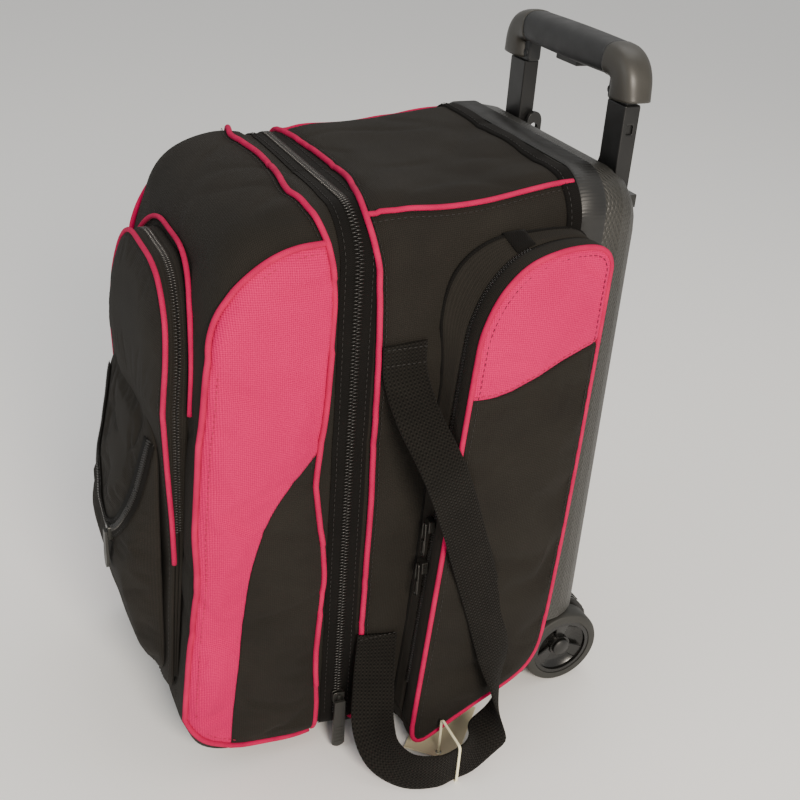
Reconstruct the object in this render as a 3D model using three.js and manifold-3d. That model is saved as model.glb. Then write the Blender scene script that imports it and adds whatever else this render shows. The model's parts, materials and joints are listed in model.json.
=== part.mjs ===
// Two-ball roller bowling bag. Millimetres, +Z up. The front pocket faces -Y, the wheels and
// the telescoping handle are at +Y, and the bag stands on the plane Z = 0, centred on X = 0.
import * as THREE from 'three';
import { mergeVertices } from 'three/addons/utils/BufferGeometryUtils.js';
import Module from 'manifold-3d';

const wasm = await Module();
wasm.setup();

// ---- driving dimensions ----
const GAP = 0.3; // clearance between touching pieces
const WALL = 4; // padded fabric wall
const HALF_W = 132; // half width of the bag body
const BODY_BOTTOM = 14; // underside of the fabric body
const BAND_TOP = 514; // top of the body at the zipper band
const REAR_TOP = 528; // top of the body at the hard shell
const ZIP_Y = -52; // plane of the main zipper
const CHAIN_DEPTH = 3.7; // depth of each zipper chain
const ZIP_END_Z = 46; // lower ends of the main zipper
const BAND_CORNER = 46; // top corner radius at the zipper band
const REAR_CORNER = 36; // top corner radius at the hard shell
const BOTTOM_CORNER = 20;
const SHELL_FRONT = 136; // seam between fabric and hard shell
const SHELL_REAR = 210;
const SHELL_WALL = 3;
const SHELL_CORNER = { x: 38, y: 48, z: 45 }; // rounding of the hard shell's rear edge
const FRONT_FACE = -188; // front of the clamshell half at FRONT_LEVEL
const FRONT_LEVEL = 100;
const FRONT_LEAN = 0.055; // the front face leans back as it rises
const HOOD_RADIUS = 100;
const TOE_RADIUS = 48;
const SIDE_RADIUS = 16;

const WHEEL = { y: 192, z: 40, r: 40, inner: 31, x0: 104, x1: 128 };
const AXLE = { r: 4.8, bore: 5.2, x0: 96.5 };
const HOUSING = { x0: 62, x1: 102.5, r: 42, rise: 2.5 };

const TUBE_X = 83;
const TUBE_Y = 196;
const STAGE = {
  outer: { w: 29.6, d: 17.6, wall: 1, z0: 88, z1: 466.5 },
  mid: { w: 27, d: 15, wall: 1.7, z0: 210, z1: 575.5 },
  top: { w: 23, d: 11, wall: 1.5, z0: 290, z1: 580 },
};
const COLLAR = { z0: 467, step: 491, z1: 502, w: 35, d: 23, rimW: 39, rimD: 27 };
const GRIP = { halfL: 108, bar: 66, bottom: 577, under: 594, top: 622, depth: 34, shoulder: 34 };
const BUTTON = { halfL: 18, halfD: 8 };

const SIDE_POCKET = { base: 132.3, split: 150, face: 172, wall: 4 };
const FRONT_DOOR = { back: -185.3, plate: -194, face: -197.5, halfW: 95, z0: 62, z1: 478 };
const POUCH = { back: -197.8, face: -226, z0: 76, z1: 334, halfW: 86 };
const BALL = { r: 110, y: 9, lower: 140, upper: 380 };
const CUP = { y0: 74, y1: 131.7, halfW: 120, halfH: 113 };
const WEBBING = { w: 38, t: 2.4 };

// ---- materials ----
const shade = (color, roughness, metalness = 0) =>
  new THREE.MeshStandardMaterial({ color, roughness, metalness });
const MATERIAL = {
  fabric: shade(0x322f2a, 0.9),
  pink: shade(0xe04a78, 0.85),
  webbing: shade(0x23211d, 0.95),
  shell: shade(0x46443c, 0.6),
  plastic: shade(0x2a2a2a, 0.5),
  grip: shade(0x3c3f42, 0.7),
  tube: shade(0x3a3a38, 0.4, 0.7),
  steel: shade(0x8a8a88, 0.35, 1),
  slider: shade(0x4a4a46, 0.4, 0.9),
  coil: shade(0x161514, 0.5),
  rubber: shade(0x2c2c2a, 0.8),
  foam: shade(0x26262a, 0.95),
  card: shade(0xbeaf87, 0.9),
  tie: shade(0xe0d4a8, 0.5),
};

// ---- solid helpers ----
function toSolid(geometry) {
  const plain = geometry.clone();
  plain.deleteAttribute('normal');
  plain.deleteAttribute('uv');
  const merged = mergeVertices(plain, 1e-4);
  return new wasm.Manifold(new wasm.Mesh({
    numProp: 3,
    vertProperties: new Float32Array(merged.attributes.position.array),
    triVerts: new Uint32Array(merged.index.array),
  }));
}

function toGeometry(solid) {
  const mesh = solid.getMesh();
  const geometry = new THREE.BufferGeometry();
  geometry.setAttribute('position', new THREE.BufferAttribute(mesh.vertProperties, 3));
  geometry.setIndex(new THREE.BufferAttribute(mesh.triVerts, 1));
  return geometry;
}

const join = (first, ...rest) => rest.reduce((sum, solid) => sum.add(solid), first);
const cut = (first, ...rest) => rest.reduce((sum, solid) => sum.subtract(solid), first);

function box(x0, x1, y0, y1, z0, z1) {
  const geometry = new THREE.BoxGeometry(x1 - x0, y1 - y0, z1 - z0);
  geometry.translate((x0 + x1) / 2, (y0 + y1) / 2, (z0 + z1) / 2);
  return toSolid(geometry);
}

// A shape drawn in (Y, Z), extruded along X from x0 to x1.
function prismX(shape, x0, x1, curveSegments = 6) {
  const geometry = new THREE.ExtrudeGeometry(shape, { depth: x1 - x0, bevelEnabled: false, curveSegments });
  const axes = new THREE.Matrix4().makeBasis(
    new THREE.Vector3(0, 1, 0), new THREE.Vector3(0, 0, 1), new THREE.Vector3(1, 0, 0));
  geometry.applyMatrix4(axes);
  geometry.translate(x0, 0, 0);
  return toSolid(geometry);
}

// A shape drawn in (X, Z), extruded along Y from y0 to y1.
function prismY(shape, y0, y1, curveSegments = 6) {
  const geometry = new THREE.ExtrudeGeometry(shape, { depth: y1 - y0, bevelEnabled: false, curveSegments });
  const axes = new THREE.Matrix4().makeBasis(
    new THREE.Vector3(1, 0, 0), new THREE.Vector3(0, 0, 1), new THREE.Vector3(0, -1, 0));
  geometry.applyMatrix4(axes);
  geometry.translate(0, y1, 0);
  return toSolid(geometry);
}

// A disc or ring about an axis along X, given as [radius, x] profile points that close on the axis.
function turnedX(profile, y, z, segments = 28) {
  const points = profile.map(([r, x]) => new THREE.Vector2(r, x));
  const geometry = new THREE.LatheGeometry(points, segments);
  geometry.rotateZ(-Math.PI / 2);
  geometry.translate(0, y, z);
  const solid = toSolid(geometry);
  return solid.volume() < 0 ? toSolid(flipped(geometry)) : solid;
}

function flipped(geometry) {
  const turned = geometry.index ? geometry.toNonIndexed() : geometry.clone();
  const p = turned.attributes.position;
  const a = new THREE.Vector3();
  const b = new THREE.Vector3();
  for (let i = 0; i < p.count; i += 3) {
    a.fromBufferAttribute(p, i);
    b.fromBufferAttribute(p, i + 1);
    p.setXYZ(i, b.x, b.y, b.z);
    p.setXYZ(i + 1, a.x, a.y, a.z);
  }
  return turned;
}

function rod(r, x0, x1, y, z, segments = 20) {
  return turnedX([[0, x0], [r, x0], [r, x1], [0, x1]], y, z, segments);
}

function ring(r0, r1, x0, x1, y, z, segments = 32) {
  return turnedX([[r0, x0], [r1, x0], [r1, x1], [r0, x1], [r0, x0]], y, z, segments);
}

// A closed solid through rings of points that all have the same count and turn the same way.
function loft(rings) {
  const count = rings[0].length;
  const vertices = [];
  const triangles = [];
  rings.forEach((points) => points.forEach((p) => vertices.push(p.x, p.y, p.z)));
  for (let k = 0; k + 1 < rings.length; k += 1) {
    for (let i = 0; i < count; i += 1) {
      const a = k * count + i;
      const b = k * count + ((i + 1) % count);
      triangles.push(a, b, b + count, a, b + count, a + count);
    }
  }
  for (let i = 1; i + 1 < count; i += 1) {
    const last = (rings.length - 1) * count;
    triangles.push(0, i + 1, i);
    triangles.push(last, last + i, last + i + 1);
  }
  const geometry = new THREE.BufferGeometry();
  geometry.setAttribute('position', new THREE.Float32BufferAttribute(vertices, 3));
  geometry.setIndex(triangles);
  const solid = toSolid(geometry);
  return solid.volume() < 0 ? toSolid(flipped(geometry)) : solid;
}

// A rounded rectangle in (X, Z) as a ring of points, with Y from a function of height.
function section(halfW, z0, z1, topR, bottomR, yAt, steps = 6) {
  const corners = [
    { x: halfW - topR, z: z1 - topR, r: topR, from: 0 },
    { x: -halfW + topR, z: z1 - topR, r: topR, from: 90 },
    { x: -halfW + bottomR, z: z0 + bottomR, r: bottomR, from: 180 },
    { x: halfW - bottomR, z: z0 + bottomR, r: bottomR, from: 270 },
  ];
  return corners.flatMap(({ x, z, r, from }) => Array.from({ length: steps + 1 }, (_, i) => {
    const angle = THREE.MathUtils.degToRad(from + (90 * i) / steps);
    const pz = z + r * Math.sin(angle);
    return new THREE.Vector3(x + r * Math.cos(angle), yAt(pz), pz);
  }));
}

function rectShape(x0, x1, z0, z1, topR, bottomR) {
  const s = new THREE.Shape();
  s.moveTo(x0 + bottomR, z0);
  s.lineTo(x1 - bottomR, z0);
  s.absarc(x1 - bottomR, z0 + bottomR, bottomR, -Math.PI / 2, 0);
  s.lineTo(x1, z1 - topR);
  s.absarc(x1 - topR, z1 - topR, topR, 0, Math.PI / 2);
  s.lineTo(x0 + topR, z1);
  s.absarc(x0 + topR, z1 - topR, topR, Math.PI / 2, Math.PI);
  s.lineTo(x0, z0 + bottomR);
  s.absarc(x0 + bottomR, z0 + bottomR, bottomR, Math.PI, 1.5 * Math.PI);
  return s;
}

// A flat strap through stations [x, y, z, across x, across y, across z]: a point of its centre line,
// and the way its width runs there.
function ribbon(stations, width, thickness, steps) {
  const curve = new THREE.CatmullRomCurve3(
    stations.map(([x, y, z]) => new THREE.Vector3(x, y, z)), false, 'centripetal');
  const widths = stations.map((station) => new THREE.Vector3(...station.slice(3)));
  const rings = [];
  for (let i = 0; i <= steps; i += 1) {
    const u = i / steps;
    const at = u * (stations.length - 1);
    const low = Math.min(Math.floor(at), stations.length - 2);
    const centre = curve.getPoint(u);
    const along = curve.getTangent(u);
    const across = widths[low].clone().lerp(widths[low + 1], at - low);
    across.addScaledVector(along, -across.dot(along)).normalize();
    const up = new THREE.Vector3().crossVectors(along, across).normalize();
    rings.push([[1, 1], [-1, 1], [-1, -1], [1, -1]].map(([a, b]) => centre.clone()
      .addScaledVector(across, (a * width) / 2)
      .addScaledVector(up, (b * thickness) / 2)));
  }
  return loft(rings);
}

const bag = new THREE.Group();

function add(name, solid, material) {
  const mesh = new THREE.Mesh(toGeometry(solid), material);
  mesh.name = name;
  bag.add(mesh);
}

// Adds a piece made for the right (+X) side, and its mirror image on the left.
function addPair(name, solid, material) {
  add(`${name}_right`, solid, material);
  add(`${name}_left`, solid.mirror([1, 0, 0]), material);
}

// ---- bag body ----
function rearBody(inset, y0, y1) {
  const at = (y) => {
    const t = (y - ZIP_Y) / (SHELL_FRONT - ZIP_Y);
    const top = THREE.MathUtils.lerp(BAND_TOP, REAR_TOP, t);
    const corner = THREE.MathUtils.lerp(BAND_CORNER, REAR_CORNER, t);
    return section(HALF_W - inset, BODY_BOTTOM + inset, top - inset, corner - inset,
      BOTTOM_CORNER - inset, () => y);
  };
  return loft([at(y0), at(y1)]);
}

function rearShell() {
  return cut(
    rearBody(0, ZIP_Y + CHAIN_DEPTH + GAP, SHELL_FRONT),
    rearBody(WALL, ZIP_Y - WALL, SHELL_FRONT - WALL));
}

// The domed front half: a rounded box whose front face leans back, with a wide hood radius.
function frontBody(inset, openY) {
  const depthAt = (z) => FRONT_FACE + inset + FRONT_LEAN * (z - FRONT_LEVEL);
  const meanDepth = openY - FRONT_FACE;
  const roundIn = (radius, f) => {
    const u = Math.max(0, (f - 1) * meanDepth + radius) / radius;
    return radius * (1 - Math.sqrt(Math.max(0, 1 - u * u)));
  };
  const stations = [0, 0.25, 0.42, 0.56, 0.68, 0.78, 0.86, 0.92, 0.96, 0.985, 1];
  return loft(stations.map((f) => {
    const side = roundIn(SIDE_RADIUS, f);
    const top = BAND_TOP - inset - roundIn(HOOD_RADIUS - inset, f);
    return section(HALF_W - inset - side, BODY_BOTTOM + inset + roundIn(TOE_RADIUS - inset, f), top,
      BAND_CORNER - inset, BOTTOM_CORNER - inset, (z) => openY + (depthAt(z) - openY) * f);
  }));
}

function frontShell() {
  return cut(
    frontBody(0, ZIP_Y - CHAIN_DEPTH - GAP),
    frontBody(WALL, ZIP_Y + WALL));
}

function zipperChain(y0, y1) {
  const outer = rectShape(-HALF_W, HALF_W, BODY_BOTTOM, BAND_TOP, BAND_CORNER, BOTTOM_CORNER);
  const t = WALL;
  const inner = rectShape(-HALF_W + t, HALF_W - t, BODY_BOTTOM + t, BAND_TOP - t,
    BAND_CORNER - t, BOTTOM_CORNER - t);
  return cut(prismY(outer, y0, y1), prismY(inner, y0 - 1, y1 + 1),
    box(-HALF_W - 1, HALF_W + 1, y0 - 1, y1 + 1, 0, ZIP_END_Z));
}

function bottomStrip() {
  const halfL = HALF_W - BOTTOM_CORNER;
  return box(-halfL, halfL, ZIP_Y - CHAIN_DEPTH + GAP, ZIP_Y + CHAIN_DEPTH - GAP,
    BODY_BOTTOM, BODY_BOTTOM + WALL);
}

// ---- hard back shell and base ----
function backBody(inset) {
  const flat = SHELL_REAR - SHELL_CORNER.y;
  const rounding = (u) => 1 - Math.sqrt(1 - u * u);
  const rings = [section(HALF_W - inset, BODY_BOTTOM + inset, REAR_TOP + 2 - inset,
    REAR_CORNER - inset, BOTTOM_CORNER - inset, () => SHELL_FRONT + GAP - (inset ? 1 : 0))];
  [0, 0.35, 0.6, 0.78, 0.9, 0.97, 1].forEach((u) => {
    const k = rounding(u);
    const y = flat + u * (SHELL_CORNER.y - inset);
    rings.push(section(
      HALF_W - inset - SHELL_CORNER.x * k,
      BODY_BOTTOM + inset + 12 * k,
      REAR_TOP + 2 - inset - SHELL_CORNER.z * k,
      REAR_CORNER - inset - 8 * k,
      BOTTOM_CORNER - inset,
      () => y));
  });
  return loft(rings);
}

function backShell() {
  const well = (side) => box(side > 0 ? HOUSING.x0 - 0.5 : -HALF_W - 2, side > 0 ? HALF_W + 2 : -HOUSING.x0 + 0.5,
    WHEEL.y - 43, 240, 0, WHEEL.z + 44);
  const notch = (side) => box(side * TUBE_X - 22, side * TUBE_X + 22,
    TUBE_Y - 14.5, 240, COLLAR.z0 - 0.5, 560);
  return cut(backBody(0), backBody(SHELL_WALL), well(1), well(-1), notch(1), notch(-1));
}

function baseTray() {
  const plate = prismY(rectShape(-118, 118, 7, BODY_BOTTOM - GAP, 3, 3), -44, 144);
  const skid = (x) => box(x - 6, x + 6, -40, 140, 4, 8);
  return join(plate, skid(-60), skid(0), skid(60));
}

function frontFoot() {
  const height = 7 - GAP;
  const puck = new THREE.CylinderGeometry(15, 13, height, 24).rotateX(Math.PI / 2);
  return toSolid(puck.translate(92, -24, height / 2));
}

// ---- wheels ----
function wheelHousing() {
  const { y, z } = WHEEL;
  const drum = rod(HOUSING.r, HOUSING.x0, HOUSING.x1, y, z + HOUSING.rise, 32);
  const block = box(HOUSING.x0, HOUSING.x1, y - 42, y, 16, z + 42);
  const fins = [0, 1, 2, 3, 4].map((i) => {
    const x = HOUSING.x0 + 5 + i * 7.5;
    return ring(HOUSING.r - 2.4, HOUSING.r + 6, x, x + 3.2, y, z + HOUSING.rise, 32);
  });
  return cut(join(drum, block), ...fins, rod(AXLE.bore, AXLE.x0 - 0.5, 110, y, z, 24));
}

function wheelTyre() {
  const { x0, x1, r, inner, y, z } = WHEEL;
  return turnedX([[inner, x0], [r - 3, x0], [r, x0 + 4], [r, x1 - 4], [r - 3, x1], [inner, x1], [inner, x0]],
    y, z, 40);
}

function wheelHub() {
  const { x0, x1, inner, y, z } = WHEEL;
  const rim = ring(inner - 4, inner - GAP, x0 + 1, x1 - 1, y, z, 40);
  const web = ring(9, inner - 3, x0 + 3, x0 + 6, y, z, 40);
  const boss = rod(11, x0 + 1, x1 - 4, y, z, 24);
  const spoke = (turn) => {
    const arm = toSolid(new THREE.BoxGeometry(8, 5, inner - 4).translate(0, 0, inner / 2));
    return arm.rotate([turn, 0, 0]).translate([x0 + 9, y, z]);
  };
  return cut(join(rim, web, boss, spoke(0), spoke(120), spoke(240)), rod(AXLE.bore, x0 - 5, x1 + 5, y, z, 24));
}

// A stub axle with a domed head that keeps the hub on.
const wheelAxle = () => turnedX([[0, AXLE.x0], [AXLE.r, AXLE.x0], [AXLE.r, 125], [9, 125], [9, 127],
  [6, 129], [0, 129.6]], WHEEL.y, WHEEL.z, 24);

// ---- telescoping handle ----
function tube({ w, d, wall, z0, z1 }) {
  const outer = box(TUBE_X - w / 2, TUBE_X + w / 2, TUBE_Y - d / 2, TUBE_Y + d / 2, z0, z1);
  const inner = box(TUBE_X - w / 2 + wall, TUBE_X + w / 2 - wall, TUBE_Y - d / 2 + wall,
    TUBE_Y + d / 2 - wall, z0 - 1, z1 + 1);
  return cut(outer, inner);
}

function midTube() {
  const { mid } = STAGE;
  const slot = box(TUBE_X + 8, TUBE_X + 20, TUBE_Y - 3, TUBE_Y + 3, mid.z1 - 24, mid.z1 - 16);
  return cut(tube(mid), slot);
}

// A two-tier collar on top of each outer tube, with a plastic ear and screw hole on its inner side.
function collar() {
  const at = (w, d, z0, z1) => box(TUBE_X - w / 2, TUBE_X + w / 2, TUBE_Y - d / 2, TUBE_Y + d / 2, z0, z1);
  const body = join(at(COLLAR.w, COLLAR.d, COLLAR.z0, COLLAR.step),
    at(COLLAR.rimW, COLLAR.rimD, COLLAR.step, COLLAR.z1), collarEar());
  return cut(body, at(STAGE.mid.w + 2 * GAP, STAGE.mid.d + 2 * GAP, 400, 600));
}

function collarEar() {
  const x1 = TUBE_X - STAGE.mid.w / 2 - 4;
  const ear = new THREE.Shape();
  ear.moveTo(TUBE_Y - 3, COLLAR.step);
  ear.lineTo(TUBE_Y + 13, COLLAR.step);
  ear.lineTo(TUBE_Y + 13, 521);
  ear.quadraticCurveTo(TUBE_Y + 12, 530, TUBE_Y + 5, 530);
  ear.quadraticCurveTo(TUBE_Y - 2, 529, TUBE_Y - 3, 517);
  return cut(prismX(ear, x1 - 4, x1), rod(3.6, x1 - 6, x1 + 2, TUBE_Y + 5, 516, 16));
}

function gripShape(x0, x1) {
  const { halfL, bottom, under, top, shoulder } = GRIP;
  const leg = TUBE_X - 16;
  const s = new THREE.Shape();
  s.moveTo(-halfL, bottom);
  s.lineTo(-leg, bottom);
  s.lineTo(-leg, under - 5);
  s.quadraticCurveTo(-leg, under, -leg + 6, under);
  s.lineTo(leg - 6, under);
  s.quadraticCurveTo(leg, under, leg, under - 5);
  s.lineTo(leg, bottom);
  s.lineTo(halfL, bottom);
  s.lineTo(halfL, top - shoulder);
  s.absarc(halfL - shoulder, top - shoulder, shoulder, 0, Math.PI / 2);
  s.lineTo(-halfL + shoulder, top);
  s.absarc(-halfL + shoulder, top - shoulder, shoulder, Math.PI / 2, Math.PI);
  const y0 = TUBE_Y - GRIP.depth / 2;
  const whole = prismY(s, y0, y0 + GRIP.depth, 8);
  return whole.intersect(box(x0, x1, y0 - 5, y0 + GRIP.depth + 5, 500, 700));
}

function gripBar() {
  const recess = box(-BUTTON.halfL - GAP, BUTTON.halfL + GAP, TUBE_Y - BUTTON.halfD - GAP,
    TUBE_Y + BUTTON.halfD + GAP, 580, GRIP.under + 12);
  return cut(gripShape(-GRIP.bar, GRIP.bar), recess);
}

function gripEnd() {
  const { top } = STAGE;
  const socket = box(TUBE_X - top.w / 2 - GAP, TUBE_X + top.w / 2 + GAP, TUBE_Y - top.d / 2 - GAP,
    TUBE_Y + top.d / 2 + GAP, 500, top.z1 + 20);
  return cut(gripShape(GRIP.bar + GAP, GRIP.halfL + 5), socket);
}

const releaseButton = () => box(-BUTTON.halfL, BUTTON.halfL, TUBE_Y - BUTTON.halfD, TUBE_Y + BUTTON.halfD,
  GRIP.under - 4.5, GRIP.under + 7);

// ---- inside the bag ----
function ballCup(level) {
  const block = box(-CUP.halfW, CUP.halfW, CUP.y0, CUP.y1, level - CUP.halfH, level + CUP.halfH);
  const ball = toSolid(new THREE.SphereGeometry(BALL.r, 28, 18).translate(0, BALL.y, level));
  return cut(block, ball);
}

const ballDivider = () => box(-120, 120, -40, CUP.y0 - 1, 255, 265);

// ---- side pockets ----
// The arched outline in (Y, Z): a straight edge that leans back, an arch, a rear edge and a rising foot.
function sidePocketShape(inset) {
  const i = inset;
  const s = new THREE.Shape();
  s.moveTo(7 + i, 34 + i / 2);
  s.lineTo(33 + i, 396);
  s.bezierCurveTo(38 + i, 452 - i / 2, 80 + i / 2, 489 - i, 122, 489 - i);
  s.quadraticCurveTo(145 - i, 488 - i, 145 - i, 462 - i);
  s.lineTo(142 - i, 300);
  s.lineTo(134 - i, 120);
  s.quadraticCurveTo(131 - i, 74 + i / 2, 108 - i / 2, 64 + i);
  s.lineTo(26 + i / 2, 18 + i);
  s.quadraticCurveTo(5 + i, 10 + i, 7 + i, 34 + i / 2);
  return s;
}

function sidePocketRing(x0, x1) {
  return cut(prismX(sidePocketShape(0), x0, x1, 7),
    prismX(sidePocketShape(SIDE_POCKET.wall), x0 - 1, x1 + 1, 7));
}

const sidePocketTub = () => sidePocketRing(SIDE_POCKET.base, SIDE_POCKET.split);

function sidePocketDoor() {
  const { split, face, wall } = SIDE_POCKET;
  return cut(prismX(sidePocketShape(0), split + GAP, face, 7),
    prismX(sidePocketShape(wall), split - 1, face - wall, 7));
}

// ---- front pocket ----
function frontDoorShape(inset) {
  const { halfW, z0, z1 } = FRONT_DOOR;
  return rectShape(-halfW + inset, halfW - inset, z0 + inset, z1 - inset, 76 - inset, 30 - inset);
}

// The clamshell's outer form, a little swollen, that trims what sits on its front face.
function frontTrimmer() {
  return frontBody(-GAP, ZIP_Y);
}

function frontPocketTub() {
  const ringSolid = cut(prismY(frontDoorShape(0), FRONT_DOOR.back + GAP, -110),
    prismY(frontDoorShape(WALL), -300, -100));
  return cut(ringSolid, frontTrimmer());
}

function frontPocketDoor() {
  const { back, plate, face } = FRONT_DOOR;
  const whole = cut(prismY(frontDoorShape(0), face, back), prismY(frontDoorShape(WALL), plate, -100));
  return cut(whole, frontTrimmer());
}

function pouchBody(inset) {
  const { back, face, z0, z1, halfW } = POUCH;
  const depth = back - face;
  const at = (f, side, low, high, r) => section(halfW - side - inset, z0 + low + inset, z1 - high - inset,
    r - inset, r - inset, () => back - (depth - inset) * f);
  return loft([
    at(inset ? -0.1 : 0, 0, 0, 0, 26),
    at(0.3, 3, 8, 40, 28),
    at(0.6, 10, 24, 74, 30),
    at(0.85, 20, 44, 98, 30),
    at(0.96, 30, 58, 112, 28),
    at(1, 40, 70, 122, 24),
  ]);
}

const pouch = () => cut(pouchBody(0), pouchBody(WALL - 1));

// ---- zipper sliders and pulls ----
const SLIDER = { x0: 132.4, x1: 138.6, halfW: 5.5, h: 14 };

// A slider on the near side of the main zipper, and its pull hanging from it.
function mainSlider() {
  const z = ZIP_END_Z + 4;
  return box(SLIDER.x0, SLIDER.x1, ZIP_Y - SLIDER.halfW, ZIP_Y + SLIDER.halfW, z, z + SLIDER.h);
}

function mainPull() {
  const z = ZIP_END_Z + 10;
  const s = new THREE.Shape();
  s.moveTo(-6, -50);
  s.quadraticCurveTo(0, -56, 6, -50);
  s.lineTo(5, 0);
  s.lineTo(-5, 0);
  return prismY(s, -1.4, 1.4).rotate([0, 0, 90]).translate([SLIDER.x1 + 1.8, ZIP_Y, z]);
}

// Sliders on the side pocket's front gusset, at two heights.
const POCKET_EDGE_SLOPE = (33 - 7) / (396 - 34);
const pocketEdgeY = (z) => 7 + (z - 34) * POCKET_EDGE_SLOPE;
const POCKET_SLIDERS = [{ name: 'upper', z: 240 }, { name: 'lower', z: 198 }];

function pocketSlider(z) {
  const y = pocketEdgeY(z);
  return box(145, 155, y - 7.2, y - 1.4, z - 6, z + 6);
}

function pocketPull(z) {
  const y = pocketEdgeY(z) - 9;
  return box(147, 153, y - 1.1, y + 1.1, z - 30, z + 3.2);
}

function doorSlider() {
  return box(-FRONT_DOOR.halfW - 6.4, -FRONT_DOOR.halfW - GAP - 0.1, FRONT_DOOR.back - 4.5, FRONT_DOOR.back + 5, 300, 313);
}

function doorPull() {
  const x = -FRONT_DOOR.halfW - 8;
  return box(x - 1.2, x + 1.2, FRONT_DOOR.back - 3, FRONT_DOOR.back + 3, 270, 307);
}

const POUCH_ZIP = { x: 30, z: 208 };

function pouchSlider() {
  const y = POUCH.face - 0.4;
  return box(POUCH_ZIP.x - 5, POUCH_ZIP.x + 5, y - 5, y, POUCH_ZIP.z - 7, POUCH_ZIP.z + 7);
}

function pouchPull() {
  const y = POUCH.face - 6.8;
  const s = new THREE.Shape();
  s.moveTo(-4, 0);
  s.lineTo(4, 0);
  s.lineTo(6.5, -26);
  s.quadraticCurveTo(6, -38, 0, -38);
  s.quadraticCurveTo(-6, -38, -6.5, -26);
  return prismY(s, y - 1.2, y + 1.2).translate([POUCH_ZIP.x, 0, POUCH_ZIP.z + 2]);
}

// ---- carry straps and hang tag ----

// The right strap's route: out of the upper anchor, over the side pocket, pinched and turned on
// edge near the floor, round a loop there and back up to the lower anchor.
const STRAP_ROUTE = [
  [137.2, -12, 408, 0, 1, 0.12], [137.6, -10, 380, 0, 1, 0.15], [155, -4, 350, 0, 1, 0.2],
  [176.5, 10, 314, 0, 0.95, 0.3], [178.5, 28, 268, 0, 0.94, 0.33], [178.5, 46, 214, 0, 0.94, 0.34],
  [180, 64, 158, -0.1, 0.94, 0.3], [185, 75, 112, -0.35, 0.9, 0.2], [193, 78, 80, -0.75, 0.6, 0.1],
  [198, 77, 56, -0.85, 0.3, 0.3], [205, 65, 34, -0.5, 0.1, 0.85], [212, 49, 24, -0.15, 0, 1],
  [215, 32, 21.5, 0, 0, 1], [218, 12, 21.5, 0, 0, 1], [209, -16, 23, -0.05, 0.15, 1],
  [192, -35, 34, -0.1, 0.5, 0.85], [173, -38, 52, 0, 0.85, 0.5], [156, -32, 76, 0, 0.97, 0.25],
  [144, -23, 99, 0, 1, 0.1], [137.4, -18, 122, 0, 1, 0],
];
const carryStrap = () => ribbon(STRAP_ROUTE, WEBBING.w, WEBBING.t, 76);

const TAG = { x: 151.5, y: 49, z: 2.4, w: 50, l: 76, t: 1.2, turn: 48.6, hole: { x: 7, y: -32, r: 3 } };
function hangTag() {
  const { w, l, t, hole } = TAG;
  const card = new THREE.Shape();
  card.moveTo(-w / 2, -l / 2);
  card.lineTo(w / 2, -l / 2);
  card.lineTo(w / 2, l / 2);
  card.lineTo(-w / 2, l / 2);
  card.holes.push(new THREE.Path().absarc(hole.x, hole.y, hole.r, 0, 2 * Math.PI, true));
  const geometry = new THREE.ExtrudeGeometry(card, { depth: t, bevelEnabled: false, curveSegments: 6 });
  return toSolid(geometry).rotate([0, 0, TAG.turn]).translate([TAG.x, TAG.y, TAG.z - t / 2]);
}

// A thin plastic band through the tag's hole and round the strap.
const TIE = { x0: 179.4, x1: 218.2, y: 33, z0: 0.3, z1: 43.4, t: 1.2, w: 2.2, topR: 4, bottomR: 3 };
function tagTie() {
  const { x0, x1, y, z0, z1, t, w, topR, bottomR } = TIE;
  const outer = rectShape(x0, x1, z0, z1, topR, bottomR);
  const inner = rectShape(x0 + t, x1 - t, z0 + t, z1 - t, topR - t, bottomR - t);
  return cut(prismY(outer, y - w / 2, y + w / 2), prismY(inner, y - w, y + w));
}

// ---- the object ----
add('rear_shell', rearShell(), MATERIAL.fabric);
add('front_shell', frontShell(), MATERIAL.fabric);
add('main_zipper_rear', zipperChain(ZIP_Y + GAP / 2, ZIP_Y + CHAIN_DEPTH), MATERIAL.coil);
add('main_zipper_front', zipperChain(ZIP_Y - CHAIN_DEPTH, ZIP_Y - GAP / 2), MATERIAL.coil);
add('bottom_hinge_strip', bottomStrip(), MATERIAL.fabric);
add('back_shell', backShell(), MATERIAL.shell);
add('base_tray', baseTray(), MATERIAL.plastic);
add('ball_cup_lower', ballCup(BALL.lower), MATERIAL.foam);
add('ball_cup_upper', ballCup(BALL.upper), MATERIAL.foam);
add('ball_divider', ballDivider(), MATERIAL.foam);
add('front_pocket_tub', frontPocketTub(), MATERIAL.fabric);
add('front_pocket_door', frontPocketDoor(), MATERIAL.fabric);
add('front_pocket_slider', doorSlider(), MATERIAL.slider);
add('front_pocket_pull', doorPull(), MATERIAL.rubber);
add('pouch', pouch(), MATERIAL.fabric);
add('pouch_slider', pouchSlider(), MATERIAL.slider);
add('pouch_pull', pouchPull(), MATERIAL.rubber);
add('grip_bar', gripBar(), MATERIAL.grip);
add('release_button', releaseButton(), MATERIAL.plastic);
addPair('grip_end', gripEnd(), MATERIAL.grip);
addPair('top_tube', tube(STAGE.top), MATERIAL.tube);
addPair('mid_tube', midTube(), MATERIAL.tube);
addPair('outer_tube', tube(STAGE.outer), MATERIAL.tube);
addPair('collar', collar(), MATERIAL.plastic);
addPair('wheel_housing', wheelHousing(), MATERIAL.plastic);
addPair('wheel_tyre', wheelTyre(), MATERIAL.rubber);
addPair('wheel_hub', wheelHub(), MATERIAL.plastic);
addPair('wheel_axle', wheelAxle(), MATERIAL.steel);
addPair('foot', frontFoot(), MATERIAL.rubber);
addPair('side_pocket_tub', sidePocketTub(), MATERIAL.fabric);
addPair('side_pocket_door', sidePocketDoor(), MATERIAL.pink);
addPair('main_slider', mainSlider(), MATERIAL.slider);
addPair('main_pull', mainPull(), MATERIAL.rubber);
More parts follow.
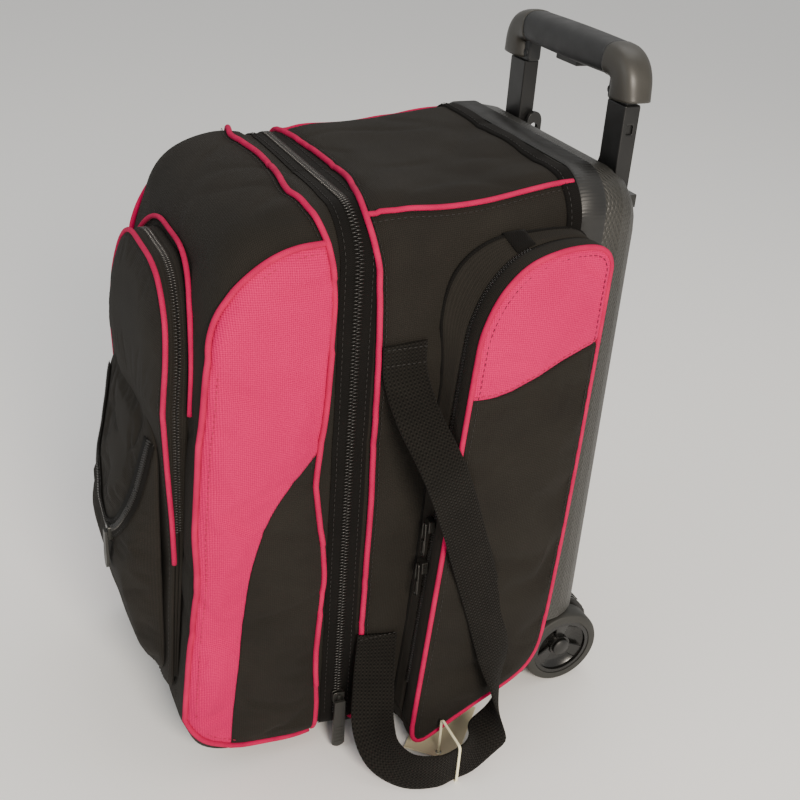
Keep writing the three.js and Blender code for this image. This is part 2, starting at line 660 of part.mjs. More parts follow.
for (const { name, z } of POCKET_SLIDERS) {
  addPair(`pocket_slider_${name}`, pocketSlider(z), MATERIAL.slider);
  addPair(`pocket_pull_${name}`, pocketPull(z), MATERIAL.slider);
}
addPair('carry_strap', carryStrap(), MATERIAL.webbing);
add('hang_tag', hangTag(), MATERIAL.card);
add('tag_tie', tagTie(), MATERIAL.tie);

export default bag;
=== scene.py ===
import json
import math

import bmesh
import bpy
import numpy as np
from mathutils import Matrix, Vector, noise

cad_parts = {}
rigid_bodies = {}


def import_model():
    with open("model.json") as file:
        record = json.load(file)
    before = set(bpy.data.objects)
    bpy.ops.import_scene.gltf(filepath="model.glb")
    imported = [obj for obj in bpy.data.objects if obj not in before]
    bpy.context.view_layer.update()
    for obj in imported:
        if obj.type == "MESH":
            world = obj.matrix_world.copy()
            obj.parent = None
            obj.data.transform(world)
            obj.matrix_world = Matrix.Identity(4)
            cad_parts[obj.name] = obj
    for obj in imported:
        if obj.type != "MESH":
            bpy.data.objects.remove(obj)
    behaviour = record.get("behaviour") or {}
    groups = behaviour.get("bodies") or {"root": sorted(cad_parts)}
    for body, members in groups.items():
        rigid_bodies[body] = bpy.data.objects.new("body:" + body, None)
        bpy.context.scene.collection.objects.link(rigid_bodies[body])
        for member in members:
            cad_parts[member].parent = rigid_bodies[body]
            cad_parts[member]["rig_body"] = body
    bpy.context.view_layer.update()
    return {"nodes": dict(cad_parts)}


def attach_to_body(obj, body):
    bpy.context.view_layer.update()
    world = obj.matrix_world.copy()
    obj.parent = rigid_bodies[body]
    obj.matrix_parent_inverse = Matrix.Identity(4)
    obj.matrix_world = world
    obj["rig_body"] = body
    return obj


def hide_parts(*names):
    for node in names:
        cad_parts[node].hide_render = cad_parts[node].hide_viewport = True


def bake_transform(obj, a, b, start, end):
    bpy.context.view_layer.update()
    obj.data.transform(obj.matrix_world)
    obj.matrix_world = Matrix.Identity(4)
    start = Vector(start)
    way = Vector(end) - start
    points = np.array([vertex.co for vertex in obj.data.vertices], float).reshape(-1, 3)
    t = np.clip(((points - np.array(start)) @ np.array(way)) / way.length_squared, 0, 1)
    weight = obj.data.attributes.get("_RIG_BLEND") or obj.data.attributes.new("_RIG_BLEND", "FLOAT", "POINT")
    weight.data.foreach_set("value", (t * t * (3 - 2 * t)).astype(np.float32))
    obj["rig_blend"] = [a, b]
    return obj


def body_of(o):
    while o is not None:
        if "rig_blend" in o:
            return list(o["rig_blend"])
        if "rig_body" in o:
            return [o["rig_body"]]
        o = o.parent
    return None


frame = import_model()
NODES = frame["nodes"]
MM = 0.001
SIDES = (("right", 1), ("left", -1))

# Sizes below are in millimetres, in the CAD frame. Meshes are scaled to metres as they are made.
HALF_W, BOTTOM, BAND_TOP, REAR_TOP = 132, 14, 514, 528
ZIP_Y, OPEN_Y, SHELL_Y = -52, -56, 136
BAND_R, REAR_R, BOTTOM_R = 46, 36, 20
HOOD_R, TOE_R, SIDE_R = 100, 48, 16
FACE_Y, FACE_Z, LEAN = -188, 100, 0.055
FRONT_DEPTH = OPEN_Y - FACE_Y
MIDDLE_Z = 264  # height of the middle of the bag's body
PIPE_R = 2.2
STITCH, STITCH_GAP = 3.2, 1.7
BODY_CLOTH, DOOR_CLOTH, WALL_CLOTH = 3.5, 1.6, 1.2  # thickness of the fabric parts

# How a sewn part settles: pressure, ease as a share of its size, and the furthest that a point moves.
SIDE_SETTLE, DOOR_SETTLE, POUCH_SETTLE = (3.0, 0.012, 3.0), (2.5, 0.012, 3.0), (3.5, 0.03, 4.0)
SETTLE_STEPS = 20


# ---- camera, lights and floor ----
def make_camera():
    azimuth, elevation, roll = (math.radians(a) for a in (64.11, 27.89, 4.36))
    flat_right = Vector((math.cos(azimuth), math.sin(azimuth), 0))
    forward = Vector((-math.sin(azimuth) * math.cos(elevation),
                      math.cos(azimuth) * math.cos(elevation), -math.sin(elevation)))
    flat_down = forward.cross(flat_right)
    right = math.cos(roll) * flat_right - math.sin(roll) * flat_down
    down = math.sin(roll) * flat_right + math.cos(roll) * flat_down
    data = bpy.data.cameras.new("camera")
    data.lens = 52.5
    data.sensor_width = 36
    data.clip_start, data.clip_end = 0.05, 50
    camera = bpy.data.objects.new("camera", data)
    camera.matrix_world = Matrix((right, -down, -forward)).transposed().to_4x4()
    camera.location = Vector((879.3, -373.4, 794.9)) * MM
    bpy.context.scene.collection.objects.link(camera)
    bpy.context.scene.camera = camera


def area_light(name, place, target, size, power, color):
    data = bpy.data.lights.new(name, "AREA")
    data.shape, data.size, data.energy, data.color = "DISK", size, power, color
    light = bpy.data.objects.new(name, data)
    light.location = place
    light.rotation_euler = (Vector(target) - Vector(place)).to_track_quat("-Z", "Y").to_euler()
    bpy.context.scene.collection.objects.link(light)


def make_studio():
    area_light("key", (2.1, -0.2, 1.3), (0, 0, 0.28), 0.8, 62, (1, 0.9, 0.78))
    area_light("window", (0.3, -2.3, 1.5), (0, 0, 0.3), 1.6, 9, (0.86, 0.93, 1))
    area_light("top", (-0.4, 0.6, 2.4), (0, 0, 0.3), 1.8, 12, (1, 0.98, 0.95))
    world = bpy.data.worlds.new("studio")
    bpy.context.scene.world = world
    world.use_nodes = True
    world.node_tree.nodes["Background"].inputs[0].default_value = (1, 0.99, 0.97, 1)
    world.node_tree.nodes["Background"].inputs[1].default_value = 0.62
    bpy.ops.mesh.primitive_plane_add(size=30, location=(0, 0, 0))
    floor = bpy.context.object
    floor.name = "floor"
    floor.data.materials.append(plain("floor_pale", (0.95, 0.95, 0.94), 0.95))


# ---- materials ----
def start_material(name, color, roughness, sockets=None):
    material = bpy.data.materials.new(name)
    material.use_nodes = True
    shader = material.node_tree.nodes["Principled BSDF"]
    shader.inputs["Base Color"].default_value = (*color, 1)
    shader.inputs["Roughness"].default_value = roughness
    for socket, value in (sockets or {}).items():
        shader.inputs[socket].default_value = value
    return material, shader


def add_node(material, kind, links=None, **values):
    made = material.node_tree.nodes.new(kind)
    for key, value in values.items():
        setattr(made, key, value)
    for socket, source in (links or {}).items():
        if isinstance(source, bpy.types.NodeSocket):
            material.node_tree.links.new(source, made.inputs[socket])
        else:
            made.inputs[socket].default_value = source
    return made


def math_node(material, operation, a, b=0.0):
    return add_node(material, "ShaderNodeMath", {0: a, 1: b}, operation=operation).outputs[0]


def multiply_add(material, value, factor, base):
    return add_node(material, "ShaderNodeMath", {0: value, 1: factor, 2: base},
                    operation="MULTIPLY_ADD").outputs[0]


def plain(name, color, roughness):
    return start_material(name, color, roughness)[0]


def blotches(material, vector, scale, low, high, detail=3.0):
    """Soft noise mapped to between low and high."""
    cloud = add_node(material, "ShaderNodeTexNoise", {"Vector": vector, "Scale": scale, "Detail": detail})
    return add_node(material, "ShaderNodeMapRange", {"Value": cloud.outputs[0], "From Min": 0.3,
                    "From Max": 0.7, "To Min": low, "To Max": high}).outputs[0]


def set_color(material, shader, color, factor):
    """Gives the surface the colour, brightened or darkened by a value near 1."""
    scaled = add_node(material, "ShaderNodeVectorMath", {0: (*color,), "Scale": factor}, operation="SCALE")
    material.node_tree.links.new(scaled.outputs[0], shader.inputs["Base Color"])


def threads(material, uv, pitch, turn):
    """Rounded ridges of a set pitch in metres, turned in the cloth's own plane."""
    turned = add_node(material, "ShaderNodeMapping", {"Vector": uv, "Rotation": (0, 0, turn)})
    split = add_node(material, "ShaderNodeSeparateXYZ", {0: turned.outputs[0]})
    return math_node(material, "SINE", math_node(material, "MULTIPLY", split.outputs[0], 2 * math.pi / pitch))


def raise_surface(material, shader, height, strength, distance):
    bump = add_node(material, "ShaderNodeBump", {"Height": height, "Strength": strength,
                                                 "Distance": distance})
    material.node_tree.links.new(bump.outputs[0], shader.inputs["Normal"])


def cloth_material(name, color, pitch=0.0023, fade=0.16):
    """Woven nylon: crossed threads, slightly uneven colour and a soft sheen."""
    material, shader = start_material(name, color, 0.85, {
        "Sheen Weight": 0.02, "Sheen Roughness": 0.5, "Specular IOR Level": 0.12})
    uv = add_node(material, "ShaderNodeTexCoord").outputs["UV"]
    warp = threads(material, uv, pitch, math.radians(45))
    weft = threads(material, uv, pitch, math.radians(-45))
    weave = math_node(material, "MULTIPLY", warp, weft)
    cloud = blotches(material, uv, 14, 1 - fade, 1 + fade)
    grain = blotches(material, uv, 900, 0.9, 1.1, 1.0)
    tone = math_node(material, "MULTIPLY", math_node(material, "MULTIPLY", cloud, grain),
                     multiply_add(material, weave, 0.24, 1.0))
    set_color(material, shader, color, tone)
    raise_surface(material, shader, weave, 0.45, 0.0004)
    return material


def rib_material(name, color, pitch, depth, turn=0, cross=0.0026, tone_depth=0.5):
    """Webbing and piping: ridges across the length, crossed by a finer set."""
    material, shader = start_material(name, color, 0.9, {"Sheen Weight": 0.02, "Specular IOR Level": 0.12})
    uv = add_node(material, "ShaderNodeTexCoord").outputs["UV"]
    rib = threads(material, uv, pitch, math.radians(turn))
    yarn = threads(material, uv, cross, math.radians(turn + 90))
    weave = math_node(material, "MULTIPLY", rib, multiply_add(material, yarn, 0.7, 0.3))
    tone = math_node(material, "MULTIPLY", multiply_add(material, weave, tone_depth, 1.0),
                     blotches(material, uv, 40, 0.85, 1.15))
    set_color(material, shader, color, tone)
    raise_surface(material, shader, weave, depth, 0.0006)
    return material


def moulded_material(name, color, roughness, grain=900, depth=0.12, metallic=0.0, wear=0.12):
    """Moulded plastic, rubber or coated metal: fine grain, uneven gloss and a little colour wear."""
    material, shader = start_material(name, color, roughness, {"Metallic": metallic})
    place = add_node(material, "ShaderNodeTexCoord").outputs["Object"]
    tone = blotches(material, place, 30, 1 - wear, 1 + wear)
    set_color(material, shader, color, tone)
    rough = blotches(material, place, 60, max(roughness - 0.08, 0.05), min(roughness + 0.08, 1))
    material.node_tree.links.new(rough, shader.inputs["Roughness"])
    speck = add_node(material, "ShaderNodeTexNoise", {"Vector": place, "Scale": grain, "Detail": 2.0})
    raise_surface(material, shader, speck.outputs[0], depth, 0.0003)
    return material


def make_materials():
    return {
        "fabric": cloth_material("black_nylon", (0.0150, 0.0132, 0.0108)),
        "pink": cloth_material("pink_nylon", (0.52, 0.004, 0.088), fade=0.05),
        "piping": rib_material("pink_twill", (0.44, 0.004, 0.064), 0.0014, 0.12, turn=30, cross=0.0014,
                               tone_depth=0.16),
        "webbing": rib_material("webbing", (0.0078, 0.0070, 0.0058), 0.0034, 1.0, cross=0.0034,
                                tone_depth=0.8),
        "tape": rib_material("zipper_tape", (0.005, 0.0045, 0.004), 0.0016, 0.3),
        "shell": shell_material(),
        "plastic": moulded_material("black_plastic", (0.012, 0.012, 0.0115), 0.45),
        "hub": moulded_material("hub_plastic", (0.010, 0.010, 0.0095), 0.25, depth=0.04),
        "grip": moulded_material("grip_rubber", (0.017, 0.018, 0.019), 0.55),
        "rubber": moulded_material("pull_rubber", (0.020, 0.020, 0.018), 0.5),
        "tyre": moulded_material("tyre_rubber", (0.022, 0.022, 0.019), 0.6),
        "tube": moulded_material("tube_coating", (0.016, 0.016, 0.016), 0.36, metallic=0.3, depth=0.05),
        "slider": moulded_material("slider_enamel", (0.05, 0.05, 0.046), 0.33, metallic=0.8, depth=0.05),
        "coil": moulded_material("coil_nylon", (0.019, 0.018, 0.017), 0.3, depth=0.05),
        "thread": moulded_material("black_thread", (0.012, 0.011, 0.010), 0.7),
        "pink_thread": moulded_material("pink_thread", (0.36, 0.008, 0.05), 0.8),
        "foam": cloth_material("foam_lining", (0.02, 0.02, 0.023), pitch=0.003),
        "card": moulded_material("card", (0.74, 0.66, 0.44), 0.75, grain=500, wear=0.06),
        "tie": moulded_material("tie_nylon", (0.85, 0.80, 0.55), 0.35),
        "elbow": moulded_material("elbow_plastic", (0.034, 0.032, 0.027), 0.42),
    }


def shell_material():
    """Hard shell with an embossed lattice of small diamonds."""
    color = (0.022, 0.021, 0.0175)
    material, shader = start_material("embossed_shell", color, 0.42)
    place = add_node(material, "ShaderNodeSeparateXYZ", {
        0: add_node(material, "ShaderNodeTexCoord").outputs["Object"]})
    across = math_node(material, "SUBTRACT", place.outputs[1],
                       math_node(material, "ABSOLUTE", place.outputs[0]))
    uv = add_node(material, "ShaderNodeCombineXYZ", {0: across, 1: place.outputs[2]}).outputs[0]
    one = threads(material, uv, 0.0042, math.radians(32))
    two = threads(material, uv, 0.0042, math.radians(-32))
    lattice = math_node(material, "MAXIMUM", one, two)
    tone = math_node(material, "MULTIPLY", multiply_add(material, lattice, 0.10, 1.0),
                     blotches(material, uv, 12, 0.88, 1.12))
    set_color(material, shader, color, tone)
    raise_surface(material, shader, lattice, 0.5, 0.0007)
    return material


# ---- mesh helpers: everything here takes millimetres ----
def attach(piece, body, slot, node=None):
    """Lets a piece move with a body and hides the CAD part that it stands for. The colour slot is not used.
    """
    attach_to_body(piece, body)
    if node:
        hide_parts(node)


def make_object(name, points, faces, material, uv=None):
    mesh = bpy.data.meshes.new(name)
    mesh.from_pydata((np.asarray(points, float) * MM).tolist(), [], faces)
    mesh.materials.append(material)
    if uv is not None:
        layer = mesh.uv_layers.new(name="UVMap")
        index = np.zeros(len(mesh.loops), int)
        mesh.loops.foreach_get("vertex_index", index)
        layer.data.foreach_set("uv", (np.asarray(uv, float) * MM)[index].ravel())
    mesh.update()
    mesh.shade_smooth()
    made = bpy.data.objects.new(name, mesh)
    bpy.context.scene.collection.objects.link(made)
    return made


def grid_faces(rows, columns):
    return [(a, a + 1, a + columns + 1, a + columns)
            for i in range(rows - 1) for a in range(i * columns, (i + 1) * columns - 1)]


def arc_uv(grid):
    """Distances along both directions of a grid of points, so that a weave keeps its scale."""
    rows, columns = grid.shape[:2]
    u = np.zeros((rows, columns))
    v = np.zeros((rows, columns))
    u[:, 1:] = np.cumsum(np.linalg.norm(np.diff(grid, axis=1), axis=2), axis=1)
    v[1:, :] = np.cumsum(np.linalg.norm(np.diff(grid, axis=0), axis=2), axis=0)
    u -= u[:, columns // 2][:, None]
    return np.stack([u, np.repeat(v.mean(1)[:, None], columns, 1)], axis=2)


def grid_object(name, grid, material, uv=None, thick=0.0):
    uv = arc_uv(grid) if uv is None else uv
    made = make_object(name, grid.reshape(-1, 3), grid_faces(*grid.shape[:2]), material,
                       uv.reshape(-1, 2))
    if thick:
        thicken(made, thick)
    return made


def thicken(piece, thickness):
    """Gives a thin skin its thickness, inward from the face that shows."""
    wall = piece.modifiers.new("wall", "SOLIDIFY")
    wall.thickness = thickness * MM
    wall.offset = -1.0


def normals_of(grid, centre):
    """Unit normals of a grid of points, pointing away from a centre."""
    across = np.cross(np.gradient(grid, axis=0), np.gradient(grid, axis=1))
    across /= np.maximum(np.linalg.norm(across, axis=2, keepdims=True), 1e-9)
    inward = ((grid - centre) * across).sum(2) < 0
    across[inward] *= -1
    return across


def smooth_noise(points, scale, seed=0.0):
    flat = np.asarray(points, float).reshape(-1, 3) / scale + seed
    values = [noise.noise(Vector(p)) for p in flat.tolist()]
    return np.array(values).reshape(np.asarray(points).shape[:-1])


def resample(points, step, closed=False):
    """A smooth curve through the given points, at an even spacing."""
    p = np.asarray(points, float)
    if closed:
        p = np.vstack([p[-1], p, p[:2]])
    else:
        p = np.vstack([2 * p[0] - p[1], p, 2 * p[-1] - p[-2]])
    t = np.linspace(0, 1, 12, endpoint=False)[:, None]
    parts = []
    for a, b, c, d in zip(p[:-3], p[1:-2], p[2:-1], p[3:]):
        parts.append(0.5 * (2 * b + (c - a) * t + (2 * a - 5 * b + 4 * c - d) * t ** 2
                            + (3 * b - a - 3 * c + d) * t ** 3))
    fine = np.vstack(parts + [p[-2][None]])
    return even(fine, step)


def length_along(path):
    """The distance travelled from a path's start to each of its points."""
    return np.concatenate([[0], np.cumsum(np.linalg.norm(np.diff(path, axis=0), axis=1))])


def count_to(path, count):
    """The same path with a set number of evenly spaced points."""
    reach = length_along(path)
    at = np.linspace(0, reach[-1], count)
    return np.stack([np.interp(at, reach, path[:, k]) for k in range(path.shape[1])], axis=1)


def even(path, step):
    """The same path with points at an even spacing."""
    path = np.asarray(path, float)
    return count_to(path, max(2, int(round(length_along(path)[-1] / step)) + 1))


def tangents(path, closed=False):
    if closed:
        along = np.roll(path, -1, axis=0) - np.roll(path, 1, axis=0)
    else:
        along = np.gradient(path, axis=0)
    return along / np.maximum(np.linalg.norm(along, axis=1, keepdims=True), 1e-9)


def sweep(name, path, ups, profile, material, closed=False):
    """A profile of (sideways, up) points carried along a path; ups are the surface normals there."""
    along = tangents(path, closed)
    side = np.cross(along, ups)
    side /= np.maximum(np.linalg.norm(side, axis=1, keepdims=True), 1e-9)
    up = np.cross(side, along)
    ring = np.asarray(profile, float)
    rings = path[:, None] + side[:, None] * ring[None, :, :1] + up[:, None] * ring[None, :, 1:]
    count, sides = rings.shape[:2]
    total = count + (1 if closed else 0)
    girth = np.concatenate([[0], np.cumsum(np.linalg.norm(np.roll(ring, -1, 0) - ring, axis=1))])
    step = np.linalg.norm(np.diff(path, axis=0), axis=1).mean()
    points = np.concatenate([rings, rings[:, :1]], axis=1)
    if closed:
        points = np.concatenate([points, points[:1]], axis=0)
    uv = np.stack(np.meshgrid(np.arange(total) * step, girth, indexing="ij"), axis=2)
    faces = grid_faces(total, sides + 1)
    if not closed:
        faces.append(tuple(range(sides, 0, -1)))
        faces.append(tuple((total - 1) * (sides + 1) + k for k in range(sides)))
    made = make_object(name, points.reshape(-1, 3), faces, material, uv.reshape(-1, 2))
    weld(made)
    return made


def weld(piece, distance=1e-6, outward=True):
    """Joins vertices that share a place; a closed form also has its faces turned outward."""
    body = bmesh.new()
    body.from_mesh(piece.data)
    bmesh.ops.remove_doubles(body, verts=body.verts, dist=distance)
    if outward:
        bmesh.ops.recalc_face_normals(body, faces=body.faces)
    body.to_mesh(piece.data)
    body.free()


def weld_only(piece):
    weld(piece, 1e-5, False)


def circle(radius, sides=10):
    angles = np.linspace(0, 2 * math.pi, sides, endpoint=False)
    return [(radius * math.cos(a), radius * math.sin(a)) for a in angles]


def piping(name, path, ups, body, closed=False, radius=PIPE_R):
    piece = sweep(name, path, ups, circle(radius), M["piping"], closed)
    attach(piece, body, "pink")
    return piece


def scatter(name, places, along, ups, shape, faces, material):
    """Copies of one small shape, each turned to its own direction, as one mesh."""
    side = np.cross(along, ups)
    side /= np.maximum(np.linalg.norm(side, axis=1, keepdims=True), 1e-9)
    up = np.cross(side, along)
    s = np.asarray(shape, float)
    points = (places[:, None] + along[:, None] * s[None, :, :1] + side[:, None] * s[None, :, 1:2]
              + up[:, None] * s[None, :, 2:])
    every = []
    for i in range(len(places)):
        every.extend(tuple(i * len(s) + v for v in face) for face in faces)
    return make_object(name, points.reshape(-1, 3), every, material)


def capsule(length, radius):
    """Points and faces of a small six-sided rounded rod along its first axis."""
    sides = 6
    stations = [(-0.5, 0.0), (-0.42, 0.7), (0.0, 1.0), (0.42, 0.7), (0.5, 0.0)]
    points = []
    for where, size in stations:
        for k in range(sides):
            a = 2 * math.pi * k / sides
            points.append((where * length, radius * size * math.cos(a), radius * size * math.sin(a)))
    faces = []
    for i in range(len(stations) - 1):
        for k in range(sides):
            a, b = i * sides + k, i * sides + (k + 1) % sides
            faces.append((a, b, b + sides, a + sides))
    return points, faces


def stitches(name, path, ups, body, material="thread", radius=0.42):
    """A row of stitches lying along a path."""
    line = even(np.hstack([path, ups]), STITCH + STITCH_GAP)
    points, faces = capsule(STITCH, radius)
    piece = scatter(name, line[:, :3], tangents(line[:, :3]), line[:, 3:], points, faces, M[material])
    attach(piece, body, "pink" if material == "pink_thread" else "fabric")
    return piece


def teeth(name, path, ups, body, side, pitch=3.1, width=4.8, radius=1.05):
    """One row of coil turns along a zipper, reaching from the middle line to one side."""
    line = even(np.hstack([path, ups]), pitch)
    along = tangents(line[:, :3])
    out = np.cross(along, line[:, 3:]) * side
    points, faces = capsule(width, radius)
    shape = [(0.55 * y, x, z) for x, y, z in points]
    turned = [face[::-1] for face in faces]
    places = line[:, :3] + out * (width / 2 - 0.9) + (along * pitch / 2 if side > 0 else 0)
    piece = scatter(name, places, along, line[:, 3:], shape, turned, M["coil"])
    attach(piece, body, "coil")
    return piece


def block(name, low, high, bevel, material, body=None, segments=3):
    (x0, y0, z0), (x1, y1, z1) = low, high
    corners = [(x, y, z) for x in (x0, x1) for y in (y0, y1) for z in (z0, z1)]
    faces = [(0, 1, 3, 2), (4, 6, 7, 5), (0, 4, 5, 1), (2, 3, 7, 6), (0, 2, 6, 4), (1, 5, 7, 3)]
    piece = make_object(name, corners, faces, material)
    round_edges(piece, bevel, segments)
    if body:
        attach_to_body(piece, body)
    return piece


def round_edges(piece, width, segments=3, angle=35):
    bevel = piece.modifiers.new("rounding", "BEVEL")
    bevel.width = width * MM
    bevel.segments = segments
    bevel.limit_method = "ANGLE"
    bevel.angle_limit = math.radians(angle)
    bevel.harden_normals = True


def plate(name, outline, thickness, bevel, material, place, segments=3):
    """A flat piece cut to an outline. place turns (u, v, w) into a point; w is the thickness."""
    count = len(outline)
    points = [place(u, v, w) for w in (0, thickness) for u, v in outline]
    faces = [tuple(range(count))[::-1], tuple(range(count, 2 * count))]
    faces += [(k, (k + 1) % count, count + (k + 1) % count, count + k) for k in range(count)]
    piece = make_object(name, points, faces, material)
    weld(piece)
    round_edges(piece, bevel, segments, 50)
    return piece


def lathe(name, profile, centre, material, body, segments=64):
    """A closed profile of (radius, x) points turned about a line along X through (y, z)."""
    loop = np.asarray(profile + profile[:1], float)
    turn = np.linspace(0, 2 * math.pi, segments + 1)
    y = centre[0] + loop[:, :1] * np.cos(turn)[None]
    z = centre[1] + loop[:, :1] * np.sin(turn)[None]
    x = np.repeat(loop[:, 1:], segments + 1, axis=1)
    piece = grid_object(name, np.stack([x, y, z], axis=2), material)
    weld(piece)
    round_edges(piece, 0.5, 2, 30)
    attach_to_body(piece, body)
    return piece


def polish(node, material, bevel, segments=3, angle=35):
    """Gives a CAD part its material, rounded edges and smooth shading."""
    piece = NODES[node]
    piece.data.materials.clear()
    piece.data.materials.append(material)
    for name in ("custom_normal", "sharp_face", "sharp_edge"):
        if name in piece.data.attributes:
            piece.data.attributes.remove(piece.data.attributes[name])
    joined = piece.modifiers.new("joined", "WELD")
    joined.merge_threshold = 0.02 * MM
    if bevel:
        round_edges(piece, bevel, segments, angle)
    piece.data.shade_smooth()
    return piece


def facing(line, direction):
    """The same direction at every point of a line."""
    return np.tile(np.array(direction, float), (len(line), 1))


def mirrored(points, sign):
    return np.asarray(points, float) * (sign, 1, 1)


# ---- the bag's outer form ----
def outline(q, w, z0, z1, r1, r0):
    """Point (x, z) of a rounded rectangle. q runs from 0 at the middle of the top to 1 at the middle
    of the underside; negative values go round the left side."""
    a = np.abs(q)
    top = np.clip(a / 0.2, 0, 1)
    shoulder = np.clip((a - 0.2) / 0.15, 0, 1) * math.pi / 2
    side = np.clip((a - 0.35) / 0.4, 0, 1)
    heel = np.clip((a - 0.75) / 0.1, 0, 1) * math.pi / 2
    under = np.clip((a - 0.85) / 0.15, 0, 1)
    x = top * (w - r1) + r1 * np.sin(shoulder) - r0 * (1 - np.cos(heel)) - under * (w - r0)
    z = z1 - r1 * (1 - np.cos(shoulder)) - side * (z1 - r1 - z0 - r0) - r0 * np.sin(heel)
    return np.where(q < 0, -x, x), z


def face_y(z):
    return FACE_Y + LEAN * (z - FACE_Z)


def round_in(radius, f):
    u = np.clip(((f - 1) * FRONT_DEPTH + radius) / radius, 0, 1)
    return radius * (1 - np.sqrt(1 - u * u))


def front_section(f):
    """Half width, bottom, top and corner radii of the front half at a share f of its depth."""
    return (HALF_W - round_in(SIDE_R, f), BOTTOM + round_in(TOE_R, f),
            BAND_TOP - round_in(HOOD_R, f), BAND_R, BOTTOM_R)


def rear_section(y):
    t = (y - ZIP_Y) / (SHELL_Y - ZIP_Y)
    return (HALF_W, BOTTOM, BAND_TOP + (REAR_TOP - BAND_TOP) * t, BAND_R + (REAR_R - BAND_R) * t,
            BOTTOM_R)


def front_point(q, f):
    x, z = outline(q, *front_section(f))
    return np.stack([x, OPEN_Y + (face_y(z) - OPEN_Y) * f, z], axis=-1)


def skin(q, y):
    """Point on the bag's outer form, by place round it and depth."""
    q, y = np.broadcast_arrays(np.asarray(q, float), np.asarray(y, float))
    rear_x, rear_z = outline(q, *rear_section(np.maximum(y, ZIP_Y)))
    z = np.full(q.shape, 300.0)
    x = z
    for _ in range(6):
        f = np.clip((y - OPEN_Y) / (face_y(z) - OPEN_Y), 0, 1)
        x, z = outline(q, *front_section(f))
    ahead = y < ZIP_Y
    return np.stack([np.where(ahead, x, rear_x), y, np.where(ahead, z, rear_z)], axis=-1)


def side_x(y, z):
    """Half width of the bag at a depth and height."""
    y, z = np.broadcast_arrays(np.asarray(y, float), np.asarray(z, float))
    f = np.clip((y - OPEN_Y) / (face_y(z) - OPEN_Y), 0, 0.999)
    ahead = y < ZIP_Y
    w, z0, z1, r1, r0 = (np.where(ahead, a, b) for a, b in
                         zip(front_section(f), rear_section(np.maximum(y, ZIP_Y))))
    high = np.clip(z - (z1 - r1), 0, r1)
    low = np.clip(z0 + r0 - z, 0, r0)
    return w - (r1 - np.sqrt(r1 ** 2 - high ** 2)) - (r0 - np.sqrt(r0 ** 2 - low ** 2))


def front_y(x, z):
    """Depth of the front half's surface at a place seen from the front."""
    x, z = np.broadcast_arrays(np.asarray(x, float), np.asarray(z, float))
    low, high = np.zeros(x.shape), np.ones(x.shape)
    for _ in range(18):
        f = (low + high) / 2
        w, z0, z1, r1, _ = front_section(f)
        over = np.clip(np.abs(x) - (w - r1), 0, r1)
        inside = (z <= z1 - r1 + np.sqrt(r1 ** 2 - over ** 2)) & (z >= z0) & (np.abs(x) <= w)
        low, high = np.where(inside, f, low), np.where(inside, high, f)
    y = OPEN_Y + (face_y(z) - OPEN_Y) * low
    return y - 1.1 * hood_puff(x, y, z)


def hood_puff(x, y, z):
    """The fuller shoulder of the hood, which fades out before its side seams."""
    return 10 * np.exp(-((y + 138) / 40) ** 2 - ((z - 490) / 32) ** 2) * np.clip(1 - (x / 130) ** 10, 0, 1)


def slack(points):
    """How far the fabric stands out from the plain form, from broad sags and small wrinkles."""
    broad = smooth_noise(points, 95) * 3.2 + smooth_noise(points, 38, 7.3) * 1.2
    fold = smooth_noise(points * np.array([1.0, 0.55, 1.0]), 58, 3.1)
    broad = broad - 1.3 * np.exp(-(fold / 0.09) ** 2)
    y = points[..., 1]
    band = np.clip(1 - np.abs(y - ZIP_Y) / 24, 0, 1)
    recess = np.where(np.abs(y - ZIP_Y) < 21, -1.6, 0.0)
    puffed = 1.8 * np.exp(-((np.abs(y - ZIP_Y) - 42) / 22) ** 2)
    puffed = np.where(np.abs(y - ZIP_Y) > 21, puffed, 0) + hood_puff(points[..., 0], y, points[..., 2])
    return broad * (1 - band) + recess + puffed


def drape(points, normals, lift=0.0):
    return points + normals * (slack(points) + lift)[..., None]


def on_skin(q, y, lift=0.0):
    """Points and normals of a line drawn on the fabric, by place round the bag and depth."""
    q, y = np.broadcast_arrays(np.asarray(q, float), np.asarray(y, float))
    here = skin(q, y)
    across = np.cross(skin(q + 0.004, y) - skin(q - 0.004, y), skin(q, y + 2) - skin(q, y - 2))
    across /= np.maximum(np.linalg.norm(across, axis=-1, keepdims=True), 1e-9)
    outward = here - np.stack([np.zeros_like(y), y, np.full_like(y, MIDDLE_Z)], axis=-1)
    across = np.where((outward * across).sum(-1, keepdims=True) < 0, -across, across)
    return drape(here, across, lift), across


def on_side(y, z, sign, lift=0.0):
    """Points and normals of a line or grid drawn on the bag's side, by depth and height."""
    y, z = np.broadcast_arrays(np.asarray(y, float), np.asarray(z, float))
    x = side_x(y, z)
    slope_y = (side_x(y + 2, z) - side_x(y - 2, z)) / 4
    slope_z = (side_x(y, z + 2) - side_x(y, z - 2)) / 4
    normal = np.stack([np.ones_like(x), -slope_y, -slope_z], axis=-1)
    normal /= np.linalg.norm(normal, axis=-1, keepdims=True)
    here = np.stack([x, y, z], axis=-1) * (sign, 1, 1)
    normal = normal * (sign, 1, 1)
    return drape(here, normal, lift), normal


# ---- main fabric of the two halves ----
ROUND = np.linspace(-1, 1, 240)


